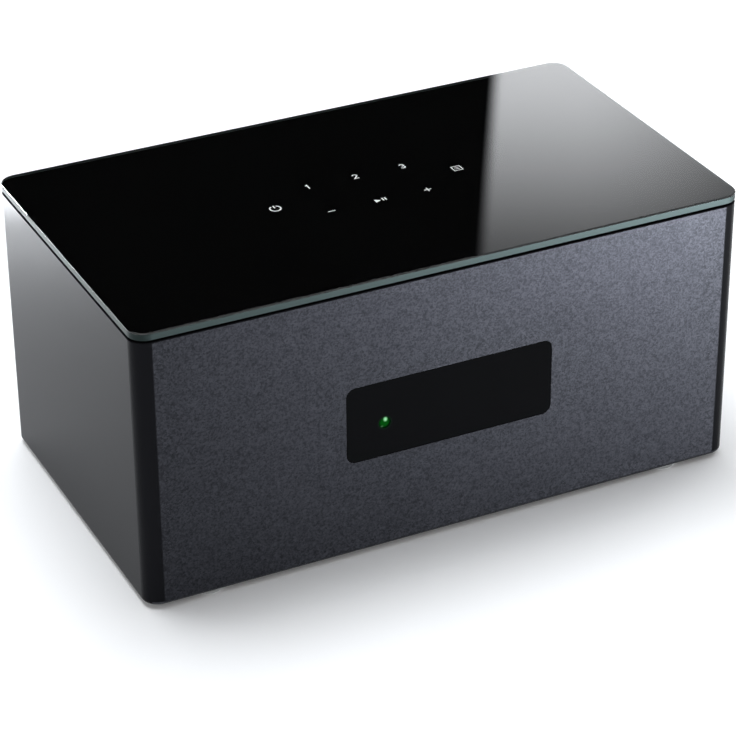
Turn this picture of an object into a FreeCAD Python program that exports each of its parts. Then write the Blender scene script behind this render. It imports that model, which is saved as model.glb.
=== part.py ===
import FreeCAD
import Part
import math
import os

V = FreeCAD.Vector

# Compact multichannel amplifier. Millimetres, +Z up, front towards -Y, +X to the right seen from
# the front. The origin is the middle of the footprint, on the surface that the feet stand on.

# Case
CASE_WIDTH = 300.0
CASE_DEPTH = 170.0
CASE_HEIGHT = 140.0
CORNER_RADIUS = 8.0
WALL = 2.5
FOOT_HEIGHT = 1.8
GLASS_THICKNESS = 4.0
GLASS_BEVEL = 0.35
SHADOW_GAP = 1.0
SHADOW_INSET = 1.2
GASKET_WIDTH = 5.8
TRAY_THICKNESS = 2.0
BASE_THICKNESS = 1.5
BASE_RECESS = 2.0
BOTTOM_EDGE_RADIUS = 2.0
TOP_RIM_BEVEL = 0.4
BOSS_RADIUS = 4.5
BOSS_SINK = 0.5
FIT_GAP = 0.3
LEAST_CORNER = 1.0

# How far a cutting tool runs past the face that it cuts
PAST = 1.0

# Feet
FOOT_RADIUS = 6.5
FOOT_STEM_RADIUS = 4.8
FOOT_FRONT_GAP = 1.3
FOOT_INSET_X = 32.0
FOOT_INSET_REAR = 17.0
FOOT_EDGE_RADIUS = 0.5
FOOT_UNDER_HEAD = 0.35
FOOT_COLLAR_RADIUS = 3.2
FOOT_COLLAR_HEIGHT = 3.0

# Screws
SCREW_RADIUS = 1.45
TAPPED_RADIUS = 1.5
CLEAR_RADIUS = 1.65
PAN_HEAD_RADIUS = 2.8
PAN_HEAD_HEIGHT = 1.9
PAN_HEAD_EDGE = 0.85
PAN_LENGTH = 6.0
FOOT_SCREW_LENGTH = 8.0
SINK_HEAD_RADIUS = 2.7
SINK_HEAD_DEPTH = 1.2
SINK_HEAD_PLAY = 0.1
SINK_LENGTH = 10.0
RECESS_LENGTH = 2.6
RECESS_WIDTH = 0.6
RECESS_DEPTH = 0.9
PILOT_EXTRA = 1.0

# Front window
WINDOW_WIDTH = 104.0
WINDOW_HEIGHT = 38.6
WINDOW_CENTRE_Z = 68.9
WINDOW_CORNER = 4.5
WINDOW_GAP = 0.1
LENS_FLANGE = 2.0
LENS_FLANGE_THICKNESS = 1.5
LIGHT_RADIUS = 2.9
LIGHT_RISE = 0.8
LIGHT_X = -33.0
LIGHT_Z = 66.8
LIGHT_GAP = 0.05

# Touch board under the glass
TOUCH_WIDTH = 112.0
TOUCH_DEPTH = 46.0
TOUCH_CORNER = 2.0
RIBBON_FROM_TOUCH_EDGE = 3.0

# Rear opening and panel
PANEL_THICKNESS = 1.5
PANEL_LAP = 8.0
REAR_SIDE_BORDER = 16.0
REAR_LOWER_BORDER = 12.0
REAR_UPPER_BORDER = 13.0
PANEL_SCREW_EDGE = 4.5
PANEL_SCREW_END = 14.0
PANEL_SCREWS = 4
CUT_GAP = 0.3

# Speaker terminals
POST_PAIRS = 5
POST_SPACING = 19.0
FIRST_PAIR_FROM_INLET = 50.0
LAST_PAIR_FROM_END = 52.0
POST_Z = 38.0
PLATE_THICKNESS = 1.5
PLATE_HEIGHT = 26.0
PLATE_MARGIN = 10.0
PLATE_CORNER = 3.0
BUSH_RADIUS = 4.4
BUSH_LENGTH = 3.0
POST_FLANGE_RADIUS = 5.0
POST_FLANGE_THICKNESS = 1.0
POST_RADIUS = 3.5
POST_LENGTH = 15.5
POST_BORE_RADIUS = 2.0
WIRE_HOLE_RADIUS = 1.4
WIRE_HOLE_UP = 2.6
BORE_FLOOR = 0.6
SHANK_RADIUS = 2.5
SHANK_END = 1.5
NUT_RADIUS = 4.6
NUT_THICKNESS = 2.4
WASHER_RADIUS = 5.5
WASHER_THICKNESS = 1.0
WASHER_PLAY = 0.1
KNOB_RADIUS = 6.5
KNOB_LENGTH = 17.0
KNOB_THREAD_PLAY = 0.05
KNOB_END_WALL = 1.5
KNOB_MOUTH_RADIUS = 2.4
KNOB_MOUTH_BEVEL = 0.6
FLUTES = 12
FLUTE_RADIUS = 1.1
FLUTE_DEPTH = 0.5
FLUTE_START = 2.0
SHANK_PLAY = 0.1

# Mains inlet and switch
INLET_FROM_END = 38.0
INLET_Z = 38.0
INLET_FLANGE_WIDTH = 31.0
INLET_FLANGE_HEIGHT = 24.0
INLET_FLANGE_THICKNESS = 2.0
INLET_FLANGE_CORNER = 2.0
INLET_BODY_WIDTH = 27.4
INLET_BODY_HEIGHT = 19.8
INLET_BODY_DEPTH = 21.0
CAVITY_WIDTH = 24.2
CAVITY_HEIGHT = 16.4
CAVITY_DEPTH = 17.0
CAVITY_CHAMFER = 4.5
BLADE_SPREAD = 7.0
BLADE_OFFSET = 2.0
BLADE_WIDTH = 2.0
BLADE_HEIGHT = 4.0
BLADE_BELOW_MOUTH = 2.0
TAB_LENGTH = 7.0
LATCH_HEIGHT = 0.8
LATCH_LENGTH = 4.0
LATCH_WIDTH = 8.0

SWITCH_Z = 75.0
SWITCH_FLANGE_WIDTH = 15.0
SWITCH_FLANGE_HEIGHT = 21.0
SWITCH_FLANGE_THICKNESS = 2.0
SWITCH_FLANGE_CORNER = 1.0
SWITCH_BODY_WIDTH = 13.0
SWITCH_BODY_HEIGHT = 19.0
CAP_WIDTH = 10.0
CAP_RADIUS = 8.0
CAP_TILT = 12.0
CAP_VALLEY = 1.2
CAP_RIDGE = 3.4
CAP_BOTTOM = 5.0
CAP_SIDE_GAP = 0.3
PIVOT_RADIUS = 1.2
PIVOT_LENGTH = 1.0
PIVOT_PLAY = 0.05
PIVOT_BELOW_FLANGE = 1.0
CAP_FLOOR_GAP = 1.6
SWITCH_FLOOR = 3.0

# Upper row of sockets, on the main board, placed one from the next from the right-hand end
MAIN_BOARD_Z = 90.0
HDMI_COUNT = 4
HDMI_TO_USB = 24.0
HDMI_PITCH = 21.0
HDMI_WIDTH = 15.0
HDMI_HEIGHT = 5.6
HDMI_DEPTH = 12.0
HDMI_WALL = 0.4
HDMI_CHAMFER = 1.5
HDMI_CAVITY = 9.5
HDMI_TONGUE_WIDTH = 10.6
HDMI_TONGUE_HEIGHT = 1.1
HDMI_TONGUE_SET_BACK = 1.2
USB_TO_OPTICAL = 21.0
USB_WIDTH = 13.2
USB_HEIGHT = 5.8
USB_DEPTH = 14.0
USB_WALL = 0.4
USB_CAVITY = 12.0
USB_TONGUE_WIDTH = 11.2
USB_TONGUE_HEIGHT = 1.8
USB_TONGUE_DROP = 0.5
SOCKET_PROUD = 1.0
OPTICAL_TO_RCA = 22.0
OPTICAL_WIDTH = 13.0
OPTICAL_HEIGHT = 12.4
OPTICAL_DEPTH = 18.0
OPTICAL_MOUTH = 8.6
OPTICAL_MOUTH_UP = 5.4
OPTICAL_CAVITY = 13.0
OPTICAL_POCKET = 1.4
SHUTTER_THICKNESS = 0.8
SHUTTER_GAP = 0.25
SHUTTER_SET_BACK = 0.6
SHUTTER_PIN_RADIUS = 0.45
SHUTTER_PIN_PLAY = 0.05
SHUTTER_PIN_LENGTH = 0.8
RCA_COUNT = 4
RCA_TO_BUTTON = 18.0
RCA_PITCH = 16.0
RCA_UP = 7.0
RCA_BLOCK_HEIGHT = 14.0
RCA_BLOCK_DEPTH = 12.0
RCA_BLOCK_MARGIN = 7.5
RCA_COLLAR_RADIUS = 5.6
RCA_COLLAR_PROUD = 0.8
RCA_BARREL_RADIUS = 4.15
RCA_BARREL_WALL = 0.6
RCA_BARREL_LENGTH = 9.0
RCA_BARREL_BEVEL = 0.3
RCA_CORE_PLAY = 0.05
RCA_CORE_SET_BACK = 0.5
RCA_BORE_RADIUS = 1.65
RCA_BORE_DEPTH = 9.0
BUTTON_FROM_END = 24.0
BUTTON_UP = 4.0
BUTTON_RADIUS = 2.5
BUTTON_EDGE = 0.4
BUTTON_PLAY = 0.1
BUTTON_PROUD = 2.0
BUTTON_FLANGE_RADIUS = 3.4
BUTTON_FLANGE_THICKNESS = 1.0
BUTTON_TRAVEL = 1.2
BUTTON_REST_GAP = 0.1
BUTTON_END_GAP = 0.3
BUTTON_SWITCH_WIDTH = 6.0
BUTTON_SWITCH_DEPTH = 6.0
BUTTON_SWITCH_ABOVE = 3.0

# Ventilation
SLOT_WIDTH = 3.0
SLOT_FLAT = 0.01
REAR_SLOT_LENGTH = 14.0
REAR_SLOT_Z = 65.0
REAR_SLOT_COUNT = 21
REAR_SLOT_FROM_POST = 9.5
BASE_SLOT_LENGTH = 34.0
BASE_SLOT_COUNT = 13
BASE_SLOT_FROM_FOOT = 22.0
BASE_SLOT_ROWS = (-35.0, 25.0)

# Boards and what is on them
BOARD_THICKNESS = 1.6
STANDOFF_HEIGHT = 8.0
STANDOFF_RADIUS = 3.0
STANDOFF_INSET = 5.0
AMP_STANDOFF_INSET_X = 20.0
AMP_STANDOFF_REAR = 14.0
BOARD_END_GAP = 11.0
POWER_BOARD_WIDTH = 66.0
POWER_BOARD_FRONT_GAP = 11.0
POWER_BOARD_REAR_GAP = 21.5
BOARD_SPACING = 14.0
AMP_BOARD_DEPTH = 102.0
AMP_BOARD_END_GAP = 20.0
AMP_BOARD_REAR_GAP = 1.0
MAIN_BOARD_BESIDE_HDMI = 6.5
MAIN_BOARD_END_GAP = 15.0
MAIN_BOARD_PAST_RIBBON = 4.5
MAIN_BOARD_REAR_GAP = 1.5
SHELF_THICKNESS = 1.5
SHELF_STANDOFF = 5.0
SHELF_SIDE_GAP = 4.0
SHELF_DEPTH = 40.0
SHELF_REAR_GAP = 13.0
SHELF_FOOT = 7.0
TERMINAL_BOARD_MARGIN = 8.0
TERMINAL_BOARD_ABOVE = 14.0
DISPLAY_BOARD_WIDTH = 130.0
DISPLAY_BOARD_HEIGHT = 54.0
DISPLAY_BOARD_CENTRE_Z = 71.0
DISPLAY_BOARD_GAP = 5.8
DISPLAY_WIDTH = 56.0
DISPLAY_HEIGHT = 22.0
DISPLAY_X = 12.0
RECEIVER_X = 47.25
RECEIVER_WIDTH = 5.5
RECEIVER_HEIGHT = 6.5
EMITTER_WIDTH = 3.2
EMITTER_HEIGHT = 2.8
EMITTER_DEPTH = 1.2
CHIP_HEIGHT = 3.0
AMP_CHIPS = 4
AMP_CHIP_SIZE = 14.0
VIDEO_CHIP_SIZE = 20.0
VIDEO_CHIP_HEIGHT = 2.0
SOUND_CHIP_SIZE = 14.0
SOUND_CHIP_FROM_USB = 12.0
MEMORY_WIDTH = 10.0
MEMORY_DEPTH = 14.0
MEMORY_FORWARD = 8.0
SMALL_CHIP_HEIGHT = 1.6
RADIO_WIDTH = 16.0
RADIO_DEPTH = 12.0
RADIO_HEIGHT = 2.2
RADIO_FORWARD = 12.0
HEATSINK_BASE = 5.0
HEATSINK_HEIGHT = 30.0
HEATSINK_DEPTH = 36.0
HEATSINK_FRONT_GAP = 8.0
HEATSINK_END_GAP = 12.0
FIN_THICKNESS = 1.6
FIN_PITCH = 7.0
COIL_RADIUS = 6.0
COIL_HEIGHT = 14.0
COIL_FLANGE = 2.0
COIL_WAIST = 1.0
COIL_REAR_GAP = 26.0
CAPACITOR_RADIUS = 11.0
CAPACITOR_HEIGHT = 40.0
CAPACITOR_EDGE = 1.0
CAPACITOR_SPREAD = 15.0
CAPACITOR_GAP = 6.0
SMALL_CAPACITOR_RADIUS = 6.0
SMALL_CAPACITOR_HEIGHT = 25.0
SMALL_CAPACITORS = 3
SMALL_CAPACITOR_GAP = 3.0
TRANSFORMER_WIDTH = 36.0
TRANSFORMER_DEPTH = 30.0
TRANSFORMER_HEIGHT = 28.0
TRANSFORMER_LIMB = 8.0
TRANSFORMER_CORNER = 2.0
TRANSFORMER_GAP = 4.0
CHOKE_SIDE = 20.0
CHOKE_HEIGHT = 17.0
FUSE_RADIUS = 3.0
FUSE_LENGTH = 24.0
FUSE_UP = 3.2
FUSE_FROM_MIDDLE = 20.0
CLIP_WIDTH = 8.0
CLIP_DEPTH = 4.0
CLIP_SPREAD = 8.0
BOARD_EDGE_GAP = 3.0
WINDING_GAP = 0.3
RIBBON_WIDTH = 20.0
RIBBON_THICKNESS = 0.4
RIBBON_SOCKET_HEIGHT = 2.0
RIBBON_LANDING = 8.0
RIBBON_SOCKET_MARGIN = 2.0
UPRIGHT_SOCKET = 4.0
RIBBON_FOOT = 1.0
RIBBON_SLOT_MARGIN = 1.0
RIBBON_SLOT_DEPTH = 3.0
AMP_RIBBON_GAP = 2.5
DISPLAY_RIBBON_X = -35.0
LEAD_RADIUS = 1.1
LEAD_BEND = 6.0
LEAD_CLEARANCE = 1.4

# Worked out from the sizes above
half_width = CASE_WIDTH / 2
terminal_reach = PLATE_THICKNESS + POST_FLANGE_THICKNESS + WASHER_THICKNESS + KNOB_LENGTH - WALL
front_y = -(CASE_DEPTH + terminal_reach) / 2
rear_y = front_y + CASE_DEPTH
case_mid_y = (front_y + rear_y) / 2
body_bottom = FOOT_HEIGHT
glass_bottom = CASE_HEIGHT - GLASS_THICKNESS
body_top = glass_bottom - SHADOW_GAP
tray_bottom = body_top - TRAY_THICKNESS
base_bottom = body_bottom + BASE_RECESS
base_top = base_bottom + BASE_THICKNESS
inner_half_width = half_width - WALL
inner_front_y = front_y + WALL
panel_out_y = rear_y - WALL
panel_in_y = panel_out_y - PANEL_THICKNESS
boss_x = inner_half_width - BOSS_RADIUS + BOSS_SINK
boss_front_y = inner_front_y + BOSS_RADIUS - BOSS_SINK
boss_rear_y = panel_in_y - FIT_GAP - BOSS_RADIUS
boss_points = [(x, y) for x in (-boss_x, boss_x) for y in (boss_front_y, boss_rear_y)]
foot_points = [
    (x, y)
    for x in (-half_width + FOOT_INSET_X, half_width - FOOT_INSET_X)
    for y in (front_y + FOOT_FRONT_GAP + FOOT_RADIUS, rear_y - FOOT_INSET_REAR)
]
opening_half_width = half_width - REAR_SIDE_BORDER
opening_bottom = body_bottom + REAR_LOWER_BORDER
opening_top = body_top - REAR_UPPER_BORDER
panel_half_width = opening_half_width + PANEL_LAP
panel_bottom = opening_bottom - PANEL_LAP
panel_top = opening_top + PANEL_LAP
panel_screw_reach = opening_half_width - PANEL_SCREW_END
panel_screw_points = [
    (panel_screw_reach * (2 * index / (PANEL_SCREWS - 1) - 1), z)
    for index in range(PANEL_SCREWS)
    for z in (opening_bottom - PANEL_SCREW_EDGE, opening_top + PANEL_SCREW_EDGE)
]

inlet_x = -half_width + INLET_FROM_END
first_pair_x = inlet_x + FIRST_PAIR_FROM_INLET
last_pair_x = half_width - LAST_PAIR_FROM_END
pair_pitch = (last_pair_x - first_pair_x) / (POST_PAIRS - 1)
post_xs = [
    first_pair_x + pair * pair_pitch + side * POST_SPACING / 2
    for pair in range(POST_PAIRS)
    for side in (-1, 1)
]
plate_out_y = panel_out_y + PLATE_THICKNESS
post_seat_y = plate_out_y + POST_FLANGE_THICKNESS
post_end_y = post_seat_y + POST_LENGTH
washer_out_y = post_seat_y + WASHER_THICKNESS
knob_end_y = washer_out_y + KNOB_LENGTH
bush_end_y = panel_in_y - (BUSH_LENGTH - PANEL_THICKNESS)
terminal_board_in_y = bush_end_y - BOARD_THICKNESS
nut_in_y = terminal_board_in_y - NUT_THICKNESS

inlet_mouth_y = panel_out_y + INLET_FLANGE_THICKNESS
inlet_floor_y = inlet_mouth_y - CAVITY_DEPTH
inlet_back_y = panel_out_y - INLET_BODY_DEPTH
switch_out_y = panel_out_y + SWITCH_FLANGE_THICKNESS
switch_pivot_y = switch_out_y - PIVOT_BELOW_FLANGE
switch_floor_y = switch_pivot_y - CAP_BOTTOM - CAP_FLOOR_GAP
switch_back_y = switch_floor_y - SWITCH_FLOOR

button_x = half_width - BUTTON_FROM_END
rca_first_x = button_x - RCA_TO_BUTTON - (RCA_COUNT - 1) * RCA_PITCH
rca_xs = [rca_first_x + index * RCA_PITCH for index in range(RCA_COUNT)]
optical_x = rca_first_x - OPTICAL_TO_RCA
usb_x = optical_x - USB_TO_OPTICAL
hdmi_first_x = usb_x - HDMI_TO_USB - (HDMI_COUNT - 1) * HDMI_PITCH
hdmi_xs = [hdmi_first_x + index * HDMI_PITCH for index in range(HDMI_COUNT)]
rca_z = MAIN_BOARD_Z + RCA_UP
socket_out_y = panel_out_y + SOCKET_PROUD
optical_mouth_z = MAIN_BOARD_Z + OPTICAL_MOUTH_UP
shutter_out_y = socket_out_y - SHUTTER_SET_BACK
shutter_hinge_y = shutter_out_y - SHUTTER_THICKNESS / 2
shutter_hinge_z = optical_mouth_z + OPTICAL_MOUTH / 2 + SHUTTER_PIN_RADIUS
rca_face_y = panel_in_y - CUT_GAP
rca_end_y = panel_out_y + RCA_BARREL_LENGTH
button_z = MAIN_BOARD_Z + BUTTON_UP
button_flange_y = panel_in_y - BUTTON_REST_GAP
switch_plunger_y = button_flange_y - BUTTON_FLANGE_THICKNESS - BUTTON_TRAVEL - BUTTON_END_GAP

low_board_bottom = base_top + STANDOFF_HEIGHT
low_board_top = low_board_bottom + BOARD_THICKNESS
power_left = -inner_half_width + BOARD_END_GAP
power_right = power_left + POWER_BOARD_WIDTH
power_front = inner_front_y + POWER_BOARD_FRONT_GAP
power_rear = panel_in_y - POWER_BOARD_REAR_GAP
amp_left = power_right + BOARD_SPACING
amp_right = inner_half_width - AMP_BOARD_END_GAP
amp_rear = panel_in_y - AMP_BOARD_REAR_GAP
amp_front = amp_rear - AMP_BOARD_DEPTH
ribbon_y = case_mid_y + TOUCH_DEPTH / 2 - RIBBON_FROM_TOUCH_EDGE
main_left = hdmi_first_x - HDMI_WIDTH / 2 - MAIN_BOARD_BESIDE_HDMI
main_right = inner_half_width - MAIN_BOARD_END_GAP
main_rear = panel_in_y - MAIN_BOARD_REAR_GAP
main_front = ribbon_y - MAIN_BOARD_PAST_RIBBON
main_bottom = MAIN_BOARD_Z - BOARD_THICKNESS
shelf_top = main_bottom - SHELF_STANDOFF
shelf_bottom = shelf_top - SHELF_THICKNESS
shelf_left = power_right + SHELF_SIDE_GAP
shelf_right = main_right + SHELF_SIDE_GAP
shelf_rear = panel_in_y - SHELF_REAR_GAP
shelf_front = shelf_rear - SHELF_DEPTH
display_front = inner_front_y + DISPLAY_BOARD_GAP
display_rear = display_front + BOARD_THICKNESS
lens_back_y = inner_front_y + LENS_FLANGE_THICKNESS
heatsink_left = amp_left + HEATSINK_END_GAP
heatsink_right = amp_right - HEATSINK_END_GAP
heatsink_front = amp_front + HEATSINK_FRONT_GAP
heatsink_mid_y = heatsink_front + HEATSINK_DEPTH / 2
heatsink_bottom = low_board_top + CHIP_HEIGHT
amp_ribbon_y = heatsink_front + HEATSINK_DEPTH + AMP_RIBBON_GAP
power_mid_x = (power_left + power_right) / 2
lead_drop_y = inlet_back_y - TAB_LENGTH - 2 * LEAD_BEND
choke_x = power_left + CHOKE_SIDE / 2 + BOARD_EDGE_GAP
choke_y = lead_drop_y - LEAD_RADIUS - LEAD_CLEARANCE - CHOKE_SIDE / 2
small_capacitor_y = choke_y - CHOKE_SIDE / 2 - SMALL_CAPACITOR_GAP - SMALL_CAPACITOR_RADIUS
transformer_y = small_capacitor_y - SMALL_CAPACITOR_RADIUS - TRANSFORMER_GAP - TRANSFORMER_DEPTH / 2
capacitor_y = transformer_y - TRANSFORMER_DEPTH / 2 - CAPACITOR_GAP - CAPACITOR_RADIUS


def box(x0, x1, y0, y1, z0, z1):
    """Block between two corners."""
    return Part.makeBox(x1 - x0, y1 - y0, z1 - z0, V(x0, y0, z0))


def cylinder_x(x0, x1, y, z, radius):
    return Part.makeCylinder(radius, x1 - x0, V(x0, y, z), V(1, 0, 0))


def cylinder_y(x, z, y0, y1, radius):
    return Part.makeCylinder(radius, y1 - y0, V(x, y0, z), V(0, 1, 0))


def cylinder_z(x, y, z0, z1, radius):
    return Part.makeCylinder(radius, z1 - z0, V(x, y, z0), V(0, 0, 1))


def edges_along(shape, direction):
    """Straight edges of a shape that run along a direction."""
    return [
        edge
        for edge in shape.Edges
        if isinstance(edge.Curve, Part.Line) and abs(edge.Curve.Direction.dot(direction)) > 0.999
    ]


def edges_at_height(shape, z):
    """Edges of a shape that lie wholly in one horizontal plane."""
    return [
        edge
        for edge in shape.Edges
        if abs(edge.BoundBox.ZMin - z) < 1e-4 and abs(edge.BoundBox.ZMax - z) < 1e-4
    ]


def edges_at_depth(shape, y):
    """Edges of a shape that lie wholly in one plane square to Y."""
    return [
        edge
        for edge in shape.Edges
        if abs(edge.BoundBox.YMin - y) < 1e-4 and abs(edge.BoundBox.YMax - y) < 1e-4
    ]


def rounded_z(x0, x1, y0, y1, z0, z1, radius):
    """Block with rounded vertical edges."""
    block = box(x0, x1, y0, y1, z0, z1)
    return block.makeFillet(radius, edges_along(block, V(0, 0, 1)))


def rounded_y(x0, x1, y0, y1, z0, z1, radius):
    """Block with rounded edges along Y, for what shows in the front or the rear."""
    block = box(x0, x1, y0, y1, z0, z1)
    return block.makeFillet(radius, edges_along(block, V(0, 1, 0)))


def case_prism(inset, z0, z1):
    """Upright prism with the outline of the case, drawn in by an inset."""
    return rounded_z(
        -half_width + inset,
        half_width - inset,
        front_y + inset,
        rear_y - inset,
        z0,
        z1,
        CORNER_RADIUS - min(inset, CORNER_RADIUS - LEAST_CORNER),
    )


def placed(shape, point, direction):
    """Copy of a shape with its own Z turned to a direction and its origin at a point."""
    copy = shape.copy()
    turn = FreeCAD.Rotation(V(0, 0, 1), V(*direction))
    copy.Placement = FreeCAD.Placement(V(*point), turn)
    return copy


def cut_all(shape, tools):
    """Shape without the tools, which may touch each other."""
    return shape.cut(tools) if tools else shape


def save(name, solids):
    """One file for a sub-part, as one solid or as a group of separate ones."""
    shape = solids[0] if len(solids) == 1 else Part.makeCompound(solids)
    shape.exportStep("parts/" + name + ".step")
    print(name, len(solids), round(shape.Volume, 1))


def make_shell():
    """Tube of the case: outline with rounded corners, window, rear opening and screw bosses."""
    outer = case_prism(0.0, body_bottom, body_top)
    outer = outer.makeFillet(BOTTOM_EDGE_RADIUS, edges_at_height(outer, body_bottom))
    outer = outer.makeChamfer(TOP_RIM_BEVEL, edges_at_height(outer, body_top))
    shell = outer.cut(case_prism(WALL, body_bottom - PAST, body_top + PAST))
    bosses = [cylinder_z(x, y, base_top, tray_bottom, BOSS_RADIUS) for x, y in boss_points]
    shell = shell.fuse(bosses)
    pilots = []
    for x, y in boss_points:
        pilots.append(cylinder_z(x, y, base_top, base_bottom + SINK_LENGTH + PILOT_EXTRA, TAPPED_RADIUS))
        pilots.append(cylinder_z(x, y, body_top - SINK_LENGTH - PILOT_EXTRA, tray_bottom, TAPPED_RADIUS))
    window = rounded_y(
        -WINDOW_WIDTH / 2,
        WINDOW_WIDTH / 2,
        front_y - PAST,
        inner_front_y + PAST,
        WINDOW_CENTRE_Z - WINDOW_HEIGHT / 2,
        WINDOW_CENTRE_Z + WINDOW_HEIGHT / 2,
        WINDOW_CORNER,
    )
    rear = rounded_y(
        -opening_half_width,
        opening_half_width,
        panel_out_y - PAST,
        rear_y + PAST,
        opening_bottom,
        opening_top,
        WINDOW_CORNER,
    )
    holes = [cylinder_y(x, z, panel_out_y - PAST, rear_y + PAST, CLEAR_RADIUS) for x, z in panel_screw_points]
    return cut_all(shell, pilots + [window, rear] + holes)


def make_base_plate():
    """Floor plate with countersunk holes under the bosses, foot screw holes and vent slots."""
    plate = case_prism(WALL + FIT_GAP, base_bottom, base_top)
    tools = []
    for x, y in boss_points:
        tools.append(cylinder_z(x, y, base_bottom - PAST, base_top + PAST, CLEAR_RADIUS))
        tools.append(
            Part.makeCone(SINK_HEAD_RADIUS, CLEAR_RADIUS, SINK_HEAD_DEPTH, V(x, y, base_bottom), V(0, 0, 1))
        )
    for x, y in foot_points:
        tools.append(cylinder_z(x, y, base_bottom - PAST, base_top + PAST, TAPPED_RADIUS))
    reach = half_width - FOOT_INSET_X - BASE_SLOT_FROM_FOOT
    for row_y in BASE_SLOT_ROWS:
        for index in range(BASE_SLOT_COUNT):
            x = reach * (2 * index / (BASE_SLOT_COUNT - 1) - 1)
            y = case_mid_y + row_y
            tools.append(
                rounded_z(
                    x - SLOT_WIDTH / 2,
                    x + SLOT_WIDTH / 2,
                    y - BASE_SLOT_LENGTH / 2,
                    y + BASE_SLOT_LENGTH / 2,
                    base_bottom - PAST,
                    base_top + PAST,
                    SLOT_WIDTH / 2 - SLOT_FLAT,
                )
            )
    return cut_all(plate, tools)


def make_foot_collar(x, y):
    """Threaded collar that stands on the floor plate over a foot's screw hole."""
    collar_top = base_top + FOOT_COLLAR_HEIGHT
    collar = cylinder_z(x, y, base_top, collar_top, FOOT_COLLAR_RADIUS)
    return collar.cut(cylinder_z(x, y, base_top - PAST, collar_top + PAST, TAPPED_RADIUS))


def make_rear_panel():
    """Steel panel inside the rear opening, cut for every socket, and its vent slots."""
    panel = box(-panel_half_width, panel_half_width, panel_in_y, panel_out_y, panel_bottom, panel_top)
    y0 = panel_in_y - PAST
    y1 = panel_out_y + PAST
    tools = [cylinder_y(x, z, y0, y1, TAPPED_RADIUS) for x, z in panel_screw_points]
    tools += [cylinder_y(x, POST_Z, y0, y1, BUSH_RADIUS + WINDOW_GAP) for x in post_xs]
    tools.append(centred_cut(inlet_x, INLET_Z, INLET_BODY_WIDTH, INLET_BODY_HEIGHT, y0, y1))
    tools.append(centred_cut(inlet_x, SWITCH_Z, SWITCH_BODY_WIDTH, SWITCH_BODY_HEIGHT, y0, y1))
    for x in hdmi_xs:
        tools.append(centred_cut(x, MAIN_BOARD_Z + HDMI_HEIGHT / 2, HDMI_WIDTH, HDMI_HEIGHT, y0, y1))
    tools.append(centred_cut(usb_x, MAIN_BOARD_Z + USB_HEIGHT / 2, USB_WIDTH, USB_HEIGHT, y0, y1))
    optical_z = MAIN_BOARD_Z + OPTICAL_HEIGHT / 2
    tools.append(centred_cut(optical_x, optical_z, OPTICAL_WIDTH, OPTICAL_HEIGHT, y0, y1))
    tools += [cylinder_y(x, rca_z, y0, y1, RCA_COLLAR_RADIUS + CUT_GAP) for x in rca_xs]
    tools.append(cylinder_y(button_x, button_z, y0, y1, BUTTON_RADIUS + BUTTON_PLAY))
    first_x = post_xs[0] + REAR_SLOT_FROM_POST
    last_x = post_xs[-1] - REAR_SLOT_FROM_POST
    for index in range(REAR_SLOT_COUNT):
        x = first_x + (last_x - first_x) * index / (REAR_SLOT_COUNT - 1)
        tools.append(
            rounded_y(
                x - SLOT_WIDTH / 2,
                x + SLOT_WIDTH / 2,
                y0,
                y1,
                REAR_SLOT_Z - REAR_SLOT_LENGTH / 2,
                REAR_SLOT_Z + REAR_SLOT_LENGTH / 2,
                SLOT_WIDTH / 2 - SLOT_FLAT,
            )
        )
    return cut_all(panel, tools)


def centred_cut(x, z, width, height, y0, y1):
    """Square cut in the rear panel, one gap larger than what passes through it."""
    half_w = width / 2 + CUT_GAP
    half_h = height / 2 + CUT_GAP
    return box(x - half_w, x + half_w, y0, y1, z - half_h, z + half_h)


def make_top_tray():
    """Plate that closes the shell under the glass, with a slot for the touch board's flat cable."""
    tray = case_prism(WALL + FIT_GAP, tray_bottom, body_top)
    tools = []
    for x, y in boss_points:
        tools.append(cylinder_z(x, y, tray_bottom - PAST, body_top + PAST, CLEAR_RADIUS))
        tools.append(
            Part.makeCone(
                CLEAR_RADIUS,
                SINK_HEAD_RADIUS,
                SINK_HEAD_DEPTH,
                V(x, y, body_top - SINK_HEAD_DEPTH),
                V(0, 0, 1),
            )
        )
    tools.append(
        box(
            -RIBBON_WIDTH / 2 - RIBBON_SLOT_MARGIN,
            RIBBON_WIDTH / 2 + RIBBON_SLOT_MARGIN,
            ribbon_y - RIBBON_SLOT_DEPTH / 2,
            ribbon_y + RIBBON_SLOT_DEPTH / 2,
            tray_bottom - PAST,
            body_top + PAST,
        )
    )
    return cut_all(tray, tools)


def make_glass_gasket():
    """Flat ring that carries the glass and shows as the black line under it."""
    outer = case_prism(SHADOW_INSET, body_top, glass_bottom)
    return outer.cut(case_prism(SHADOW_INSET + GASKET_WIDTH, body_top - PAST, glass_bottom + PAST))


def make_glass_top():
    """Glass plate with the outline of the case and ground bevels."""
    glass = case_prism(0.0, glass_bottom, CASE_HEIGHT)
    rims = edges_at_height(glass, glass_bottom) + edges_at_height(glass, CASE_HEIGHT)
    return glass.makeChamfer(GLASS_BEVEL, rims)


def make_touch_board():
    """Sensor board between the tray and the glass, above the flat cable's slot."""
    return rounded_z(
        -TOUCH_WIDTH / 2,
        TOUCH_WIDTH / 2,
        case_mid_y - TOUCH_DEPTH / 2,
        case_mid_y + TOUCH_DEPTH / 2,
        body_top,
        glass_bottom,
        TOUCH_CORNER,
    )


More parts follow.
